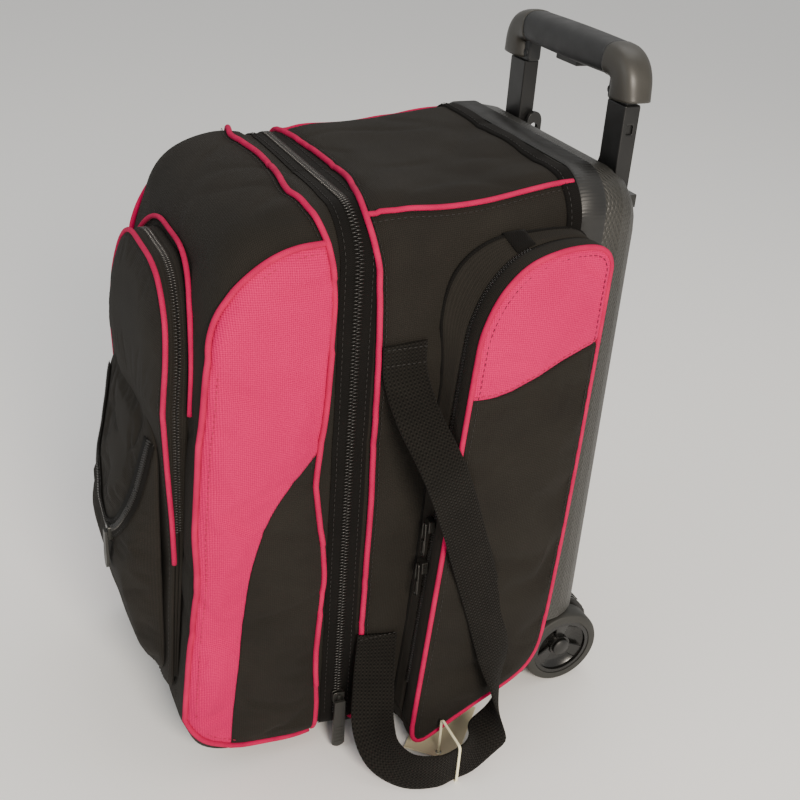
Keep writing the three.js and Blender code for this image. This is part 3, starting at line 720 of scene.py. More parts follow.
def make_base():
    """The black fabric of both halves, with a lining inside."""
    y = np.linspace(-48.3, SHELL_Y, 34)
    q, depth = np.meshgrid(ROUND, y)
    grid, _ = on_skin(q, depth)
    rear = grid_object("rear_fabric", grid, M["fabric"], thick=BODY_CLOTH)
    fix_facing(rear, (0, 44, MIDDLE_Z))
    attach(rear, "root", "fabric", "rear_shell")

    rows = [front_point(ROUND, f) for f in 1 - (1 - np.linspace(0.003, 1, 34)) ** 1.6]
    rim = rows[-1]
    for share in np.linspace(0.93, 0.03, 14):
        x, z = rim[:, 0] * share, 238 + (rim[:, 2] - 238) * share
        rows.append(np.stack([x, face_y(z), z], axis=-1))
    grid = np.array(rows)
    grid = drape(grid, normals_of(grid, np.array([0, -50.0, MIDDLE_Z])))
    grid = np.concatenate([grid, np.broadcast_to(grid[-1].mean(0), grid[-1:].shape)])
    front = grid_object("front_fabric", grid, M["fabric"], thick=BODY_CLOTH)
    fix_facing(front, (0, -100, MIDDLE_Z))
    attach(front, "front_cover", "fabric", "front_shell")


def fix_facing(piece, centre):
    """Turns every face of a thin skin away from a centre, so its thickness goes inward."""
    weld_only(piece)
    mesh = piece.data
    middle = Vector(centre) * MM
    votes = sum(1 if (p.center - middle).dot(p.normal) > 0 else -1 for p in mesh.polygons)
    if votes < 0:
        mesh.flip_normals()


# ---- side panels of the front half ----
PANEL_EDGE = [(-76, 492), (-98, 490), (-116, 484), (-133, 473), (-148, 458), (-158, 442), (-164, 424),
              (-167, 400), (-170, 360), (-175, 310), (-177, 250), (-178, 205), (-183, 155), (-188, 118),
              (-191, 93), (-189, 72), (-183, 55), (-172, 42), (-152, 31)]
PANEL_FOOT = [(-152, 31), (-138, 27), (-110, 23), (-76, 18)]
S_LINE = [(-80, 320), (-94, 302), (-109, 282), (-122, 258), (-132, 228), (-139, 187), (-145, 124),
          (-150, 70), (-152, 31)]
BAND_FRONT = [(16, -73), (55, -71), (96, -75), (132, -75), (161, -73), (191, -69), (224, -72), (259, -78),
              (290, -82), (322, -79), (364, -75), (408, -73), (452, -71), (480, -75), (497, -78)]


def band_y(z):
    """Depth of the seam in front of the zipper, which wanders as the soft bag settles."""
    heights, depths = np.array(BAND_FRONT, float).T
    soft = np.convolve(np.interp(np.arange(-20, 560, 1.0), heights, depths), np.ones(25) / 25, "same")
    return np.interp(z, np.arange(-20, 560, 1.0)[12:-12], soft[12:-12])


def on_panel(path):
    """Keeps a side panel's line on the flat of the side, clear of the rounded front edge."""
    line = resample(path, 4)
    line[:, 0] = np.maximum(line[:, 0], face_y(line[:, 1]) + 2.5)
    return line


def lens(near, far, rows=36, columns=110):
    """A flat grid filling the space between two lines that share their ends."""
    a, b = count_to(near, columns), count_to(far, columns)
    share = np.linspace(0, 1, rows)[:, None, None]
    return a[None] * (1 - share) + b[None] * share


def make_side_panels():
    edge = on_panel(PANEL_EDGE)
    foot = on_panel(PANEL_FOOT)
    seam = on_panel(S_LINE)
    high, low = np.linspace(492, 320, 44), np.linspace(320, 18, 76)
    inner = np.vstack([np.stack([band_y(high), high], axis=1), seam[1:]])
    lower = np.vstack([np.stack([band_y(low), low], axis=1), foot[::-1][1:]])
    for side, sign in SIDES:
        for name, near, far, height, lift, cloth in (("panel", edge, inner, 3.4, 1.4, "pink"),
                                                     ("gusset", seam, lower, 2.6, 1.2, "fabric")):
            flat = lens(near, far)
            grid = on_side(flat[..., 0], flat[..., 1], sign, lift + panel_puff(flat, height))[0]
            panel = grid_object(f"side_{name}_{side}", grid, M[cloth], uv=flat)
            finish_skin(panel, sign, 1.0, "front_cover", cloth)

        whole = np.vstack([edge, foot[1:]])
        piping(f"side_piping_{side}", *on_side(*whole.T, sign, 2.4), "front_cover", radius=2.5)
        path, ups = on_side(seam[:, 0], seam[:, 1], sign, 1.7)
        stitches(f"seam_stitch_{side}", path + (0, -3.2, 1.2), ups, "front_cover", "pink_thread")
        inside = inset_line(edge, (-95, 260), 6)
        stitches(f"edge_stitch_{side}", *on_side(*inside.T, sign, 2.7), "front_cover", "pink_thread",
                 radius=0.36)


def inset_line(line, middle, distance):
    """The line moved sideways by a distance, toward a point."""
    along = tangents(line)
    side = np.stack([-along[:, 1], along[:, 0]], axis=1)
    flip = np.sign(((np.array(middle) - line) * side).sum(1, keepdims=True))
    return line + side * flip * distance


def panel_puff(flat, height):
    """A cushion-like swelling, level at the seams and full a few centimetres inside them."""
    rows, columns = flat.shape[:2]
    width = np.linalg.norm(flat[-1] - flat[0], axis=-1)
    share = np.linspace(0, 1, rows)[:, None]
    near = np.minimum(share, 1 - share) * width[None]
    ends = np.minimum(np.arange(columns), np.arange(columns)[::-1])[None] * 5.0
    return height * (1 - np.exp(-np.minimum(near, ends + 3) / 11))


def settle(piece, pressure, ease, cap, held=None):
    """Lets a sewn panel fill out and wrinkle by cloth simulation, held at its seams. held adds further
    held places, as a test on points in millimetres."""
    mesh, scene = piece.data, bpy.context.scene
    before = read_points(mesh)
    body = bmesh.new()
    body.from_mesh(mesh)
    rim = np.array([list(v.co) for v in body.verts if v.is_boundary])
    body.free()
    near = np.array([np.linalg.norm(rim - p, axis=1).min() for p in before])
    pinned = near < 2.5 * MM
    if held is not None:
        pinned |= held(before / MM)
    group = piece.vertex_groups.new(name="seam")
    group.add(np.where(pinned)[0].tolist(), 1.0, "REPLACE")
    cloth = piece.modifiers.new("cloth", "CLOTH")
    rules = cloth.settings
    rules.vertex_group_mass = "seam"
    rules.quality, rules.mass, rules.air_damping = 6, 0.2, 3
    rules.tension_stiffness = rules.compression_stiffness = 12
    rules.shear_stiffness, rules.bending_stiffness = 5, 0.4
    rules.shrink_min = -ease
    rules.use_pressure, rules.uniform_pressure_force = True, pressure
    rules.effector_weights.gravity = 0
    cloth.collision_settings.use_collision = False
    cloth.point_cache.frame_start, cloth.point_cache.frame_end = 1, SETTLE_STEPS
    for moment in range(1, SETTLE_STEPS + 1):
        scene.frame_set(moment)
    shown = piece.evaluated_get(bpy.context.evaluated_depsgraph_get())
    move = np.nan_to_num(read_points(shown.data) - before)
    far = np.linalg.norm(move, axis=1, keepdims=True)
    fade = np.clip(near / (14 * MM), 0, 1)[:, None]
    move *= np.minimum(1, cap * MM / np.maximum(far, 1e-9)) * np.where(pinned[:, None], 0, 0.25 + 0.75 * fade)
    piece.modifiers.remove(cloth)
    piece.vertex_groups.clear()
    mesh.vertices.foreach_set("co", (before + move).ravel())
    mesh.update()
    scene.frame_set(1)


def read_points(mesh):
    points = np.zeros(len(mesh.vertices) * 3)
    mesh.vertices.foreach_get("co", points)
    return points.reshape(-1, 3)


def finish_skin(panel, sign, thick, body, slot, node=None):
    """Settles one sewn panel of the bag's side and gives it its thickness."""
    weld_only(panel)
    face_out(panel, (sign, 0, 0))
    settle(panel, *SIDE_SETTLE)
    thicken(panel, thick)
    attach(panel, body, slot, node)


def face_out(panel, direction):
    """Turns a thin skin so that it faces a direction."""
    mesh = panel.data
    total = sum((Vector(p.normal) * p.area for p in mesh.polygons), Vector())
    if total.dot(Vector(direction)) < 0:
        mesh.flip_normals()


# ---- main zipper and the seams round the bag ----
LOW_Q = 0.745  # where the zipper stops, near the underside


def make_band():
    q = np.linspace(-LOW_Q, LOW_Q, 420)
    for name, body, y0, y1, side in (("front", "front_cover", -52.4, -67, 1),
                                     ("rear", "root", -51.6, -37, -1)):
        across = np.linspace(y0, y1, 6)
        grid = np.stack([on_skin(q * 1.07, y, 1.1)[0] for y in across])
        attach(grid_object(f"zipper_tape_{name}", grid, M["tape"]), body, "fabric")
        teeth(f"zipper_teeth_{name}", *on_skin(q, ZIP_Y, 1.9), body, side)
        stitches(f"zipper_stitch_{name}", *on_skin(q, ZIP_Y - 11 * side, 1.6), body, radius=0.38)
    for name in ("front", "rear"):
        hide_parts(f"main_zipper_{name}")

    around = np.linspace(-0.885, 0.885, 500)
    height = skin(around, np.full(around.shape, -76.0))[:, 2]
    over = np.clip((0.3 - np.abs(around)) / 0.12, 0, 1)
    front_line = band_y(height) - 9 * over * (1 - 0.3 * np.cos(around * 16))
    piping("band_piping_front", *on_skin(around, front_line, 2.8), "front_cover", radius=2.5)
    rear_line = -32 - 9 * np.exp(-((np.abs(around) - 0.25) / 0.1) ** 2) + 1.0 * np.sin(around * 14)
    piping("band_piping_rear", *on_skin(around, rear_line, 2.8), "root", radius=2.5)
    for line, body in ((front_line - 5, "front_cover"), (rear_line + 5, "root")):
        stitches(f"band_stitch_{body}", *on_skin(around, line, 1.7), body, radius=0.34)


def make_rear_seams():
    depth = np.linspace(-41, 135, 64)
    for side, sign in SIDES:
        sway = 0.006 * np.sin(depth / 26)
        piping(f"rear_top_piping_{side}", *on_skin(sign * (0.262 + sway), depth, 1.8), "root")
        stitches(f"rear_top_stitch_{side}", *on_skin(sign * (0.278 + sway), depth, 1.3), "root", radius=0.34)
    q = np.linspace(-0.9, 0.9, 520)
    strip = [on_skin(q, y, lift)[0] for y, lift in ((124, 0.6), (124.3, 2.2), (130, 2.7), (136.5, 2.9))]
    binding = grid_object("shell_binding", np.stack(strip), M["tape"])
    attach(binding, "root", "webbing")
    stitches("binding_stitch", *on_skin(q, 127, 3.0), "root")


# ---- hard back shell ----
def make_shell():
    """The moulded shell, with a ribbed rim where the fabric is bound to it."""
    polish("back_shell", M["shell"], 0.8, 2, 40)
    q = np.linspace(-0.742, 0.742, 560)
    x, z = outline(q, HALF_W, BOTTOM, 530, REAR_R, BOTTOM_R)
    out = np.stack([x, np.zeros_like(x), z - 272], axis=-1)
    out /= np.linalg.norm(out, axis=-1, keepdims=True)
    ribs = 0.35 * np.sin(np.arange(len(q)) * 2 * math.pi / 3)
    rows = [np.stack([x, np.full_like(x, depth), z], axis=-1) + out * (lift + share * ribs)[:, None]
            for depth, lift, share in ((136.6, 1.0, 0), (138, 2.2, 1), (158.5, 2.2, 1), (160.5, 0.4, 0))]
    attach(grid_object("shell_rim", np.stack(rows), M["plastic"]), "root", "shell")


# ---- side pockets ----
OUTLINE_STEP = 4  # spacing of points along the pockets' outlines


def pocket_outline():
    """The pocket's outline with its two sharp corners kept."""
    left = resample([(7, 34), (33, 396)], OUTLINE_STEP)
    rest = resample([(33, 396), (36.5, 425), (49, 455), (70, 477), (97, 487), (122, 489), (137, 485),
                     (144.5, 474), (145, 455), (143.4, 377), (141, 270), (137, 170), (133, 112), (126, 84),
                     (108, 64), (66, 41), (26, 18), (15, 15), (8.5, 21), (7, 34)], OUTLINE_STEP)
    return np.vstack([left[:-1], rest[:-1]])


def outline_normals(loop):
    """Unit normals of a closed outline, in its own plane."""
    along = tangents(loop, True)
    out = np.stack([-along[:, 1], along[:, 0]], axis=1)
    return out * -np.sign(((loop.mean(0) - loop) * out).sum())


def inset_loop(loop, distance):
    return loop - outline_normals(loop) * distance


def loop_points(loop, x, sign):
    return np.stack([np.full(len(loop), x * sign), loop[:, 0], loop[:, 1]], axis=-1)


def close_rows(rows):
    """Rows of a grid, each ending on its own first point."""
    return np.stack([np.vstack([row, row[:1]]) for row in rows])


def side_normals(loop, sign, tilt=0.0):
    """Outward normals of a closed outline, leaning toward the side by a share."""
    out = outline_normals(loop)
    flat = math.sqrt(max(1 - tilt * tilt, 0))
    return np.stack([np.full(len(loop), tilt * sign), out[:, 0] * flat, out[:, 1] * flat], axis=-1)


def distance_to(points, loop):
    """Distance from each point to the nearest place on an outline."""
    flat = points.reshape(-1, 1, 2)
    a, b = loop[None], np.roll(loop, -1, 0)[None]
    edge = b - a
    share = np.clip(((flat - a) * edge).sum(-1) / (edge ** 2).sum(-1), 0, 1)
    near = a + edge * share[..., None]
    return np.linalg.norm(flat - near, axis=-1).min(1).reshape(points.shape[:-1])


def pocket_split(y):
    """Height of the curved seam between the black and the pink part of the pocket door."""
    return np.interp(y, [5, 33, 50, 66, 88, 109, 128, 150], [368, 368, 370, 374, 383, 395, 403, 409])


def pocket_dome(y, z, loop):
    edge = distance_to(np.stack([y, z], axis=-1), loop)
    dome = 4.6 * (1 - np.exp(-edge / 16)) + 2.4 * (1 - np.exp(-edge / 3))
    seam = np.exp(-((z - pocket_split(y)) / 2.2) ** 2)
    here = np.stack([np.zeros_like(y), y, z], axis=-1)
    return 171.0 + dome - 1.5 * seam + smooth_noise(here, 60, 3.0) * 2.2 * np.clip(edge / 25, 0, 1)


def make_pocket_door(side, sign, loop):
    inner = inset_loop(loop, 1.0)
    gap = inner[:, 1] - pocket_split(inner[:, 0])
    crossings = np.where(np.diff(np.sign(np.append(gap, gap[0]))) != 0)[0]
    first, last = crossings[0], crossings[-1]
    upper, under = inner[first + 1:last + 1], np.vstack([inner[last + 1:], inner[:first + 1]])
    if upper[:, 1].mean() < under[:, 1].mean():
        upper, under = under, upper
    if upper[0, 0] > upper[-1, 0]:
        upper = upper[::-1]
    if under[0, 0] > under[-1, 0]:
        under = under[::-1]
    y = np.linspace(upper[0, 0], upper[-1, 0], 60)
    seam = np.stack([y, pocket_split(y)], axis=1)
    body = f"side_door_{side}"
    for name, edge, cloth, node in (("upper", upper, "pink", None),
                                    ("lower", under, "fabric", f"side_pocket_door_{side}")):
        ends = np.vstack([seam[:1], edge, seam[-1:]])
        flat = lens(ends, seam, 60, 120)
        x = pocket_dome(flat[..., 0], flat[..., 1], loop)
        grid = np.stack([x * sign, flat[..., 0], flat[..., 1]], axis=-1)
        door = grid_object(f"pocket_panel_{name}_{side}", grid, M[cloth], uv=flat)
        finish_skin(door, sign, DOOR_CLOTH, body, cloth, node)

    walls = [loop_points(inset_loop(loop, d), x, sign) for x, d in
             ((151.0, 1.2), (156, 0.2), (163, -0.3), (169.5, 0.5), (171.2, 1.4))]
    gusset = grid_object(f"pocket_gusset_{side}", close_rows(walls), M["fabric"], thick=WALL_CLOTH)
    attach(gusset, body, "fabric")
    edge = loop_points(inset_loop(loop, 0.6), 171.6, sign)
    piping(f"pocket_piping_{side}", edge, side_normals(loop, sign, 0.6), body, True, 2.3)

    y = np.linspace(36, 142, 40)
    z = pocket_split(y) + 3.4
    line = np.stack([pocket_dome(y, z, loop) + 0.3, y, z], axis=-1)
    ups = facing(line, (sign, 0, 0))
    stitches(f"pocket_stitch_{side}", mirrored(line, sign), ups, body, "pink_thread")
    ring = inset_loop(loop, 6.2)
    line = np.stack([pocket_dome(ring[:, 0], ring[:, 1], loop) + 0.2, ring[:, 0], ring[:, 1]], axis=-1)
    stitches(f"pocket_edge_stitch_{side}", mirrored(line, sign), facing(line, (sign, 0, 0)),
             body, radius=0.34)


def make_pocket_tub(side, sign, loop):
    flare = 20 * np.exp(-((loop[:, :1] - 46) / 36) ** 2 - ((loop[:, 1:] - 452) / 62) ** 2) \
        + 6 * np.exp(-((loop[:, :1] - 20) / 12) ** 2 - ((loop[:, 1:] - 330) / 90) ** 2)
    spread = (inset_loop(loop, -1.0) - loop) * flare
    walls = [loop_points(inset_loop(loop, d) + spread * k, x, sign) for x, d, k in
             ((132.4, -1.4, 1), (134.5, -0.4, 0.93), (138, 0.1, 0.62), (143, 0.5, 0.25), (148.8, 1.2, 0))]
    walls = close_rows(walls)
    gusset = grid_object(f"pocket_base_{side}", walls, M["fabric"], thick=WALL_CLOTH)
    attach(gusset, "root", "fabric", f"side_pocket_tub_{side}")
    seam = loop_points(inset_loop(loop, -1.2) + spread, 133.4, sign)
    out = side_normals(loop, sign, 0.5)
    piece = sweep(f"pocket_base_cord_{side}", seam, out, circle(1.6, 8), M["tape"], True)
    attach(piece, "root", "fabric")

    first = int(np.argmin(np.linalg.norm(loop - (9.5, 70), axis=1)))
    last = int(np.argmin(np.linalg.norm(loop - (84, 482), axis=1)))
    zip_line = loop[min(first, last):max(first, last)]
    out = side_normals(loop, sign)[min(first, last):max(first, last)]
    for name, body, depth, lean in (("inner", "root", 149.3, 1), ("outer", f"side_door_{side}", 150.7, -1)):
        path = loop_points(zip_line, depth, sign) + out * 0.2
        teeth(f"pocket_teeth_{name}_{side}", path, out, body, lean * sign, 2.6, 5.0, 0.95)

    # The stitched tab over the end of the zipper, lying on the wall.
    middle = int(np.argmin(np.linalg.norm(loop - (80, 481), axis=1)))
    patch = walls[:, middle - 2:middle + 3] + side_normals(loop, sign)[None, middle - 2:middle + 3] * 1.8
    tab = grid_object(f"zip_end_tab_{side}", patch, M["tape"], thick=1.4)
    attach(tab, "root", "fabric")


def make_side_pockets():
    loop = pocket_outline()
    for side, sign in SIDES:
        make_pocket_tub(side, sign, loop)
        make_pocket_door(side, sign, loop)


# ---- front pocket and pouch ----
GRID_ROWS, GRID_COLUMNS = 120, 66
# Half width, bottom, top, radius at the top and radius at the bottom.
DOOR_FORM = (95, 62, 456, 74, 30)
DOOR_PANEL = (94.2, 62.8, 455.2, 73.2, 29.2)
POUCH_FORM = (86, 76, 334, 34, 34)


def tombstone(half_w, z0, z1, top_r, low_r):
    """Outline (x, z) with a round top, drawn anticlockwise from the lower left."""
    centres = [(half_w - low_r, z0 + low_r, low_r, -90), (half_w - top_r, z1 - top_r, top_r, 0),
               (-half_w + top_r, z1 - top_r, top_r, 90), (-half_w + low_r, z0 + low_r, low_r, 180)]
    points = []
    for cx, cz, r, start in centres:
        for a in np.radians(np.linspace(start, start + 90, 14)):
            points.append((cx + r * math.cos(a), cz + r * math.sin(a)))
    return even(np.array(points + points[:1]), OUTLINE_STEP)[:-1]


def tomb_grid(half_w, z0, z1, top_r, low_r):
    """A flat grid filling the same kind of outline, in level rows."""
    z = z0 + (z1 - z0) * (0.5 - 0.5 * np.cos(np.linspace(0, math.pi, GRID_ROWS)))
    low = np.clip(low_r - (z - z0), 0, low_r)
    high = np.clip(top_r - (z1 - z), 0, top_r)
    w = half_w - (low_r - np.sqrt(low_r ** 2 - low ** 2)) - (top_r - np.sqrt(top_r ** 2 - high ** 2))
    x = w[:, None] * np.linspace(-1, 1, GRID_COLUMNS)[None]
    return np.stack([x, np.repeat(z[:, None], GRID_COLUMNS, 1)], axis=-1)


def door_plane(z):
    """Depth of the front pocket's face: it stands out at the top and closes to the body lower down."""
    return np.interp(z, [60, 150, 210, 250, 295, 351, 373, 400, 422, 449, 480],
                     [-193, -190.5, -188, -189, -191.5, -194, -192.5, -190, -187.5, -185.5, -186])


def door_dome(x, z, loop):
    edge = distance_to(np.stack([x, z], axis=-1), loop)
    here = np.stack([x, np.zeros_like(x), z], axis=-1)
    swell = 5.6 * (1 - np.exp(-edge / 16)) + 1.6 * (1 - np.exp(-edge / 3))
    return door_plane(z) - swell + smooth_noise(here, 55, 5.0) * 1.5 * np.clip(edge / 25, 0, 1)


def make_front_door():
    loop = tombstone(*DOOR_FORM)
    flat = tomb_grid(*DOOR_PANEL)
    x, z = flat[..., 0], flat[..., 1]
    door = grid_object("front_door_panel", at_depth(flat, door_dome(x, z, loop)), M["fabric"], uv=flat)
    face_out(door, (0, -1, 0))
    settle(door, *DOOR_SETTLE, lambda p: (p[:, 2] < 345) & (np.abs(p[:, 0]) < 90))
    thicken(door, DOOR_CLOTH)
    attach(door, "front_door", "fabric", "front_pocket_door")

    upper = loop[loop[:, 1] > 205]
    start = int(np.argmax(np.linalg.norm(np.diff(np.vstack([upper, upper[:1]]), axis=0), axis=1)))
    arch = np.roll(upper, -(start + 1), axis=0)
    ups = facing(arch, (0, -1, 0))
    path = at_depth(arch, door_plane(arch[:, 1]) - 0.8)
    piping("front_door_piping", path, ups, "front_door")
    ring = inset_loop(loop, 6)
    line = at_depth(ring, door_dome(*ring.T, loop) - 0.2)
    stitches("front_door_stitch", line, facing(line, (0, -1, 0)), "front_door",
             radius=0.34)

    outer = inset_loop(loop, -1.5)
    base = at_depth(outer, front_y(*outer.T) - 0.5)
    face = at_depth(loop, door_plane(loop[:, 1]) + 0.5)
    for name, shares, body, node in (
            ("front_pocket_gusset", (0, 0.12, 0.46), "front_cover", "front_pocket_tub"),
            ("front_door_gusset", (0.54, 0.9, 1), "front_door", None)):
        make_wall(name, [base * (1 - share) + face * share for share in shares], body, node)
    middle = base * 0.5 + face * 0.5
    keep = loop[:, 1] > 240
    chain = np.roll(middle[keep], -(start + 1), axis=0)
    keep_ups = loop_ups(loop)[keep]
    chain_ups = np.roll(keep_ups, -(start + 1), axis=0)
    order = best_start(chain)
    chain, chain_ups = np.roll(chain, -order, axis=0), np.roll(chain_ups, -order, axis=0)
    for name, body, side in (("inner", "front_cover", -1), ("outer", "front_door", 1)):
        teeth(f"front_pocket_teeth_{name}", chain, chain_ups, body, side, 2.6, 4.6, 0.9)

    second = inset_loop(loop, -9.5)
    second = second[second[:, 1] > 352]
    order = best_start(second)
    second = np.roll(second, -order, axis=0)
    path = at_depth(second, front_y(*second.T) - 1.8)
    piping("front_body_piping", path, facing(path, (0, -1, 0)), "front_cover")


def at_depth(flat, depth):
    """Points (x, z) seen from the front, placed at their depths."""
    return np.stack([flat[..., 0], depth, flat[..., 1]], axis=-1)


def best_start(loop):
    """Index of the point after the longest gap, so that an open line starts there."""
    gaps = np.linalg.norm(loop - np.roll(loop, 1, axis=0), axis=1)
    return int(np.argmax(gaps))


def loop_ups(loop):
    out = outline_normals(loop)
    return np.stack([out[:, 0], np.zeros(len(loop)), out[:, 1]], axis=-1)


def make_wall(name, walls, body, node):
    walls = np.stack(walls)
    keep = walls[0, :, 2] > 88
    walls = walls[:, keep]
    walls = np.roll(walls, -best_start(walls[0]), axis=1)
    wall = grid_object(name, walls, M["fabric"], thick=1.0)
    attach(wall, body, "fabric", node)


def pouch_shape(x, z, loop):
    edge = distance_to(np.stack([x, z], axis=-1), loop)
    profile = np.interp(z, [76, 100, 130, 165, 190, 215, 250, 290, 334],
                        [2, 10, 17, 23, 26.5, 26.5, 19.5, 9.5, 2])
    here = np.stack([x, np.zeros_like(x), z], axis=-1)
    full = 1 - np.exp(-(edge / 15) ** 1.25)
    return -198.3 - profile * full - 2.0 * (1 - np.exp(-edge / 2.5)) + \
        smooth_noise(here, 34, 9.0) * 1.6 * np.clip(edge / 18, 0, 1)


POUCH_ZIP = [(-70, 318), (-62, 282), (-44, 240), (-20, 215), (4, 208), (24, 209), (44, 222), (60, 246),
             (70, 282), (76, 318)]


def make_pouch():
    loop = tombstone(*POUCH_FORM)
    flat = tomb_grid(*POUCH_FORM)
    x, z = flat[..., 0], flat[..., 1]
    pouch = grid_object("pouch_fabric", at_depth(flat, pouch_shape(x, z, loop)), M["fabric"], uv=flat)
    face_out(pouch, (0, -1, 0))
    zip_line = resample(POUCH_ZIP, 8)
    settle(pouch, *POUCH_SETTLE, lambda p: np.array(
        [np.abs(zip_line - (x, z)).sum(1).min() < 16 for x, z in p[:, ::2]]))
    thicken(pouch, DOOR_CLOTH)
    attach(pouch, "pouch_body", "fabric", "pouch")

    line = resample(POUCH_ZIP, 4)
    path = at_depth(line, pouch_shape(*line.T, loop) - 0.9)
    slope = [(pouch_shape(*(line + step).T, loop) - pouch_shape(*(line - step).T, loop)) / 10
             for step in ((5, 0), (0, 5))]
    ups = np.stack([slope[0], -np.ones(len(line)), slope[1]], axis=1)
    ups /= np.linalg.norm(ups, axis=1, keepdims=True)
    tape = sweep("pouch_tape", path, ups, [(-8, -0.5), (8, -0.5), (8, 0.5), (-8, 0.5)], M["tape"])
    attach(tape, "pouch_body", "fabric")
    for name, side in (("upper", 1), ("lower", -1)):
        teeth(f"pouch_teeth_{name}", path + ups * 0.9, ups, "pouch_body", side, 2.4, 4.0, 0.8)
        edge = offset_line(line, 6 * side)
        rows = at_depth(edge, pouch_shape(*edge.T, loop) - 1.4)
        stitches(f"pouch_stitch_{name}", rows, ups, "pouch_body", radius=0.36)


def offset_line(line, distance):
    along = tangents(line)
    return line + np.stack([-along[:, 1], along[:, 0]], axis=1) * distance


# ---- carry straps, tie and tag ----
STRAP_ROUTE = [
    (137.2, -12, 408, 0, 1, .12), (137.6, -10, 380, 0, 1, .15), (155, -4, 350, 0, 1, .2),
    (178.5, 10, 314, 0, .95, .3), (181.5, 28, 268, 0, .94, .33), (182.5, 46, 214, 0, .94, .34),
    (184, 64, 158, -.1, .94, .3), (187, 75, 112, -.35, .9, .2), (193, 78, 80, -.75, .6, .1),
    (198, 77, 56, -.85, .3, .3), (205, 65, 34, -.5, .1, .85), (212, 49, 24, -.15, 0, 1),
    (215, 32, 21.5, 0, 0, 1), (218, 12, 21.5, 0, 0, 1), (209, -14, 23, -.05, .15, 1),
    (192, -31, 34, -.1, .5, .85), (173, -33, 52, 0, .85, .5), (157.6, -27.5, 76, 0, .97, .25),
    (145, -22, 99, 0, 1, .1), (137.4, -18, 122, 0, 1, 0)]
STRAP_W, STRAP_T = 38, 2.4


def strap_grid():
    """Rounded strap section carried along its route. Near the pinch the edges curl toward each other."""
    line = resample(STRAP_ROUTE, 4)
    centre, across = line[:, :3], line[:, 3:]
    along = tangents(centre)
    across -= along * (across * along).sum(1, keepdims=True)
    across /= np.linalg.norm(across, axis=1, keepdims=True)
    up = np.cross(along, across)
    reach = length_along(centre)
    pinch = np.exp(-((centre[:, 2] - 74) / 26) ** 2) * (centre[:, 1] > 50)
    crease = np.clip((centre[:, 2] - 120) / 60, 0, 1) * np.clip((370 - centre[:, 2]) / 50, 0, 1)
    crease = crease * (centre[:, 0] > 150)
    t = np.linspace(-1, 1, 17)
    ring_t = np.concatenate([t, t[::-1]])
    ring_s = np.concatenate([np.sqrt(1 - t ** 4 * 0.9), -np.sqrt(1 - t[::-1] ** 4 * 0.9)])
    width = STRAP_W / 2 * (1 - 0.14 * pinch)
    bow = (0.5 - ring_t[None] ** 2) * (1.6 * pinch[:, None]) - 3.4 * crease[:, None] * np.clip(
        ring_t[None] - 0.25, 0, 1)
    lift = ring_s[None] * STRAP_T / 2 + bow
    points = centre[:, None] + across[:, None] * (ring_t[None] * width[:, None])[..., None] \
        + up[:, None] * lift[..., None]
    uv = np.stack(np.broadcast_arrays(reach[:, None], ring_t[None] * STRAP_W / 2), axis=2)
    return points, uv


def make_straps():
    points, uv = strap_grid()
    points = np.concatenate([points, points[:, :1]], axis=1)
    uv = np.concatenate([uv, uv[:, :1]], axis=1)
    middle = resample(STRAP_ROUTE, 4)[:, :3]
    for side, sign in SIDES:
        strap = grid_object(f"strap_{side}", mirrored(points, sign), M["webbing"], uv=uv)
        weld(strap)
        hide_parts(f"carry_strap_{side}")
        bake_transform(strap, "root", f"side_door_{side}", start=(0, -0.012, 0.2), end=(0, 0.045, 0.2))
        route = mirrored(middle, sign) * MM
        for name, x, y, z in (("upper", 139.6, -11, 396), ("lower", 139.2, -18, 112)):
            for k, row in enumerate((z - 5, z + 9)):
                path = mirrored([(x, y - 16, row), (x, y + 16, row)], sign)
                stitches(f"patch_stitch_{name}_{k}_{side}", path, facing(path, (sign, 0, 0)), "root")


def to_side(piece, sign):
    """Mirrors a piece made for the right side when it belongs on the left."""
    if sign < 0:
        piece.data.transform(Matrix.Scale(-1, 4, (1, 0, 0)))
        piece.data.flip_normals()


# ---- zipper pulls and sliders ----
def slider_body(name, node, centre, along, up, size=(11, 9, 6)):
    """A zipper slider: two waisted plates with a bridge, made to its own length, width and height."""
    along, up = Vector(along).normalized(), Vector(up).normalized()
    side = along.cross(up)
    length, width, height = size
    shape = [(-0.5, 0.28), (-0.36, 0.42), (0.1, 0.5), (0.42, 0.5), (0.5, 0.36), (0.5, -0.36), (0.42, -0.5),
             (0.1, -0.5), (-0.36, -0.42), (-0.5, -0.28)]

    def at(low):
        def place(u, v, w):
            return Vector(centre) + along * u * length + side * v * width + up * (low + w)
        return place

    top = plate(name, shape, 1.6, 0.5, M["slider"], at(height / 2 - 2.6))
    low = plate(f"{name}_base", shape, 1.2, 0.4, M["slider"], at(-height / 2 + 0.4))
    bridge = [(-0.3, 0.14), (0.3, 0.14), (0.3, -0.14), (-0.3, -0.14)]
    arch = plate(f"{name}_bridge", bridge, 1.5, 0.5, M["slider"], at(height / 2 - 1.2))
    body = body_of(NODES[node])[0]
    for piece in (top, low, arch):
        attach(piece, body, "slider")
    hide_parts(node)


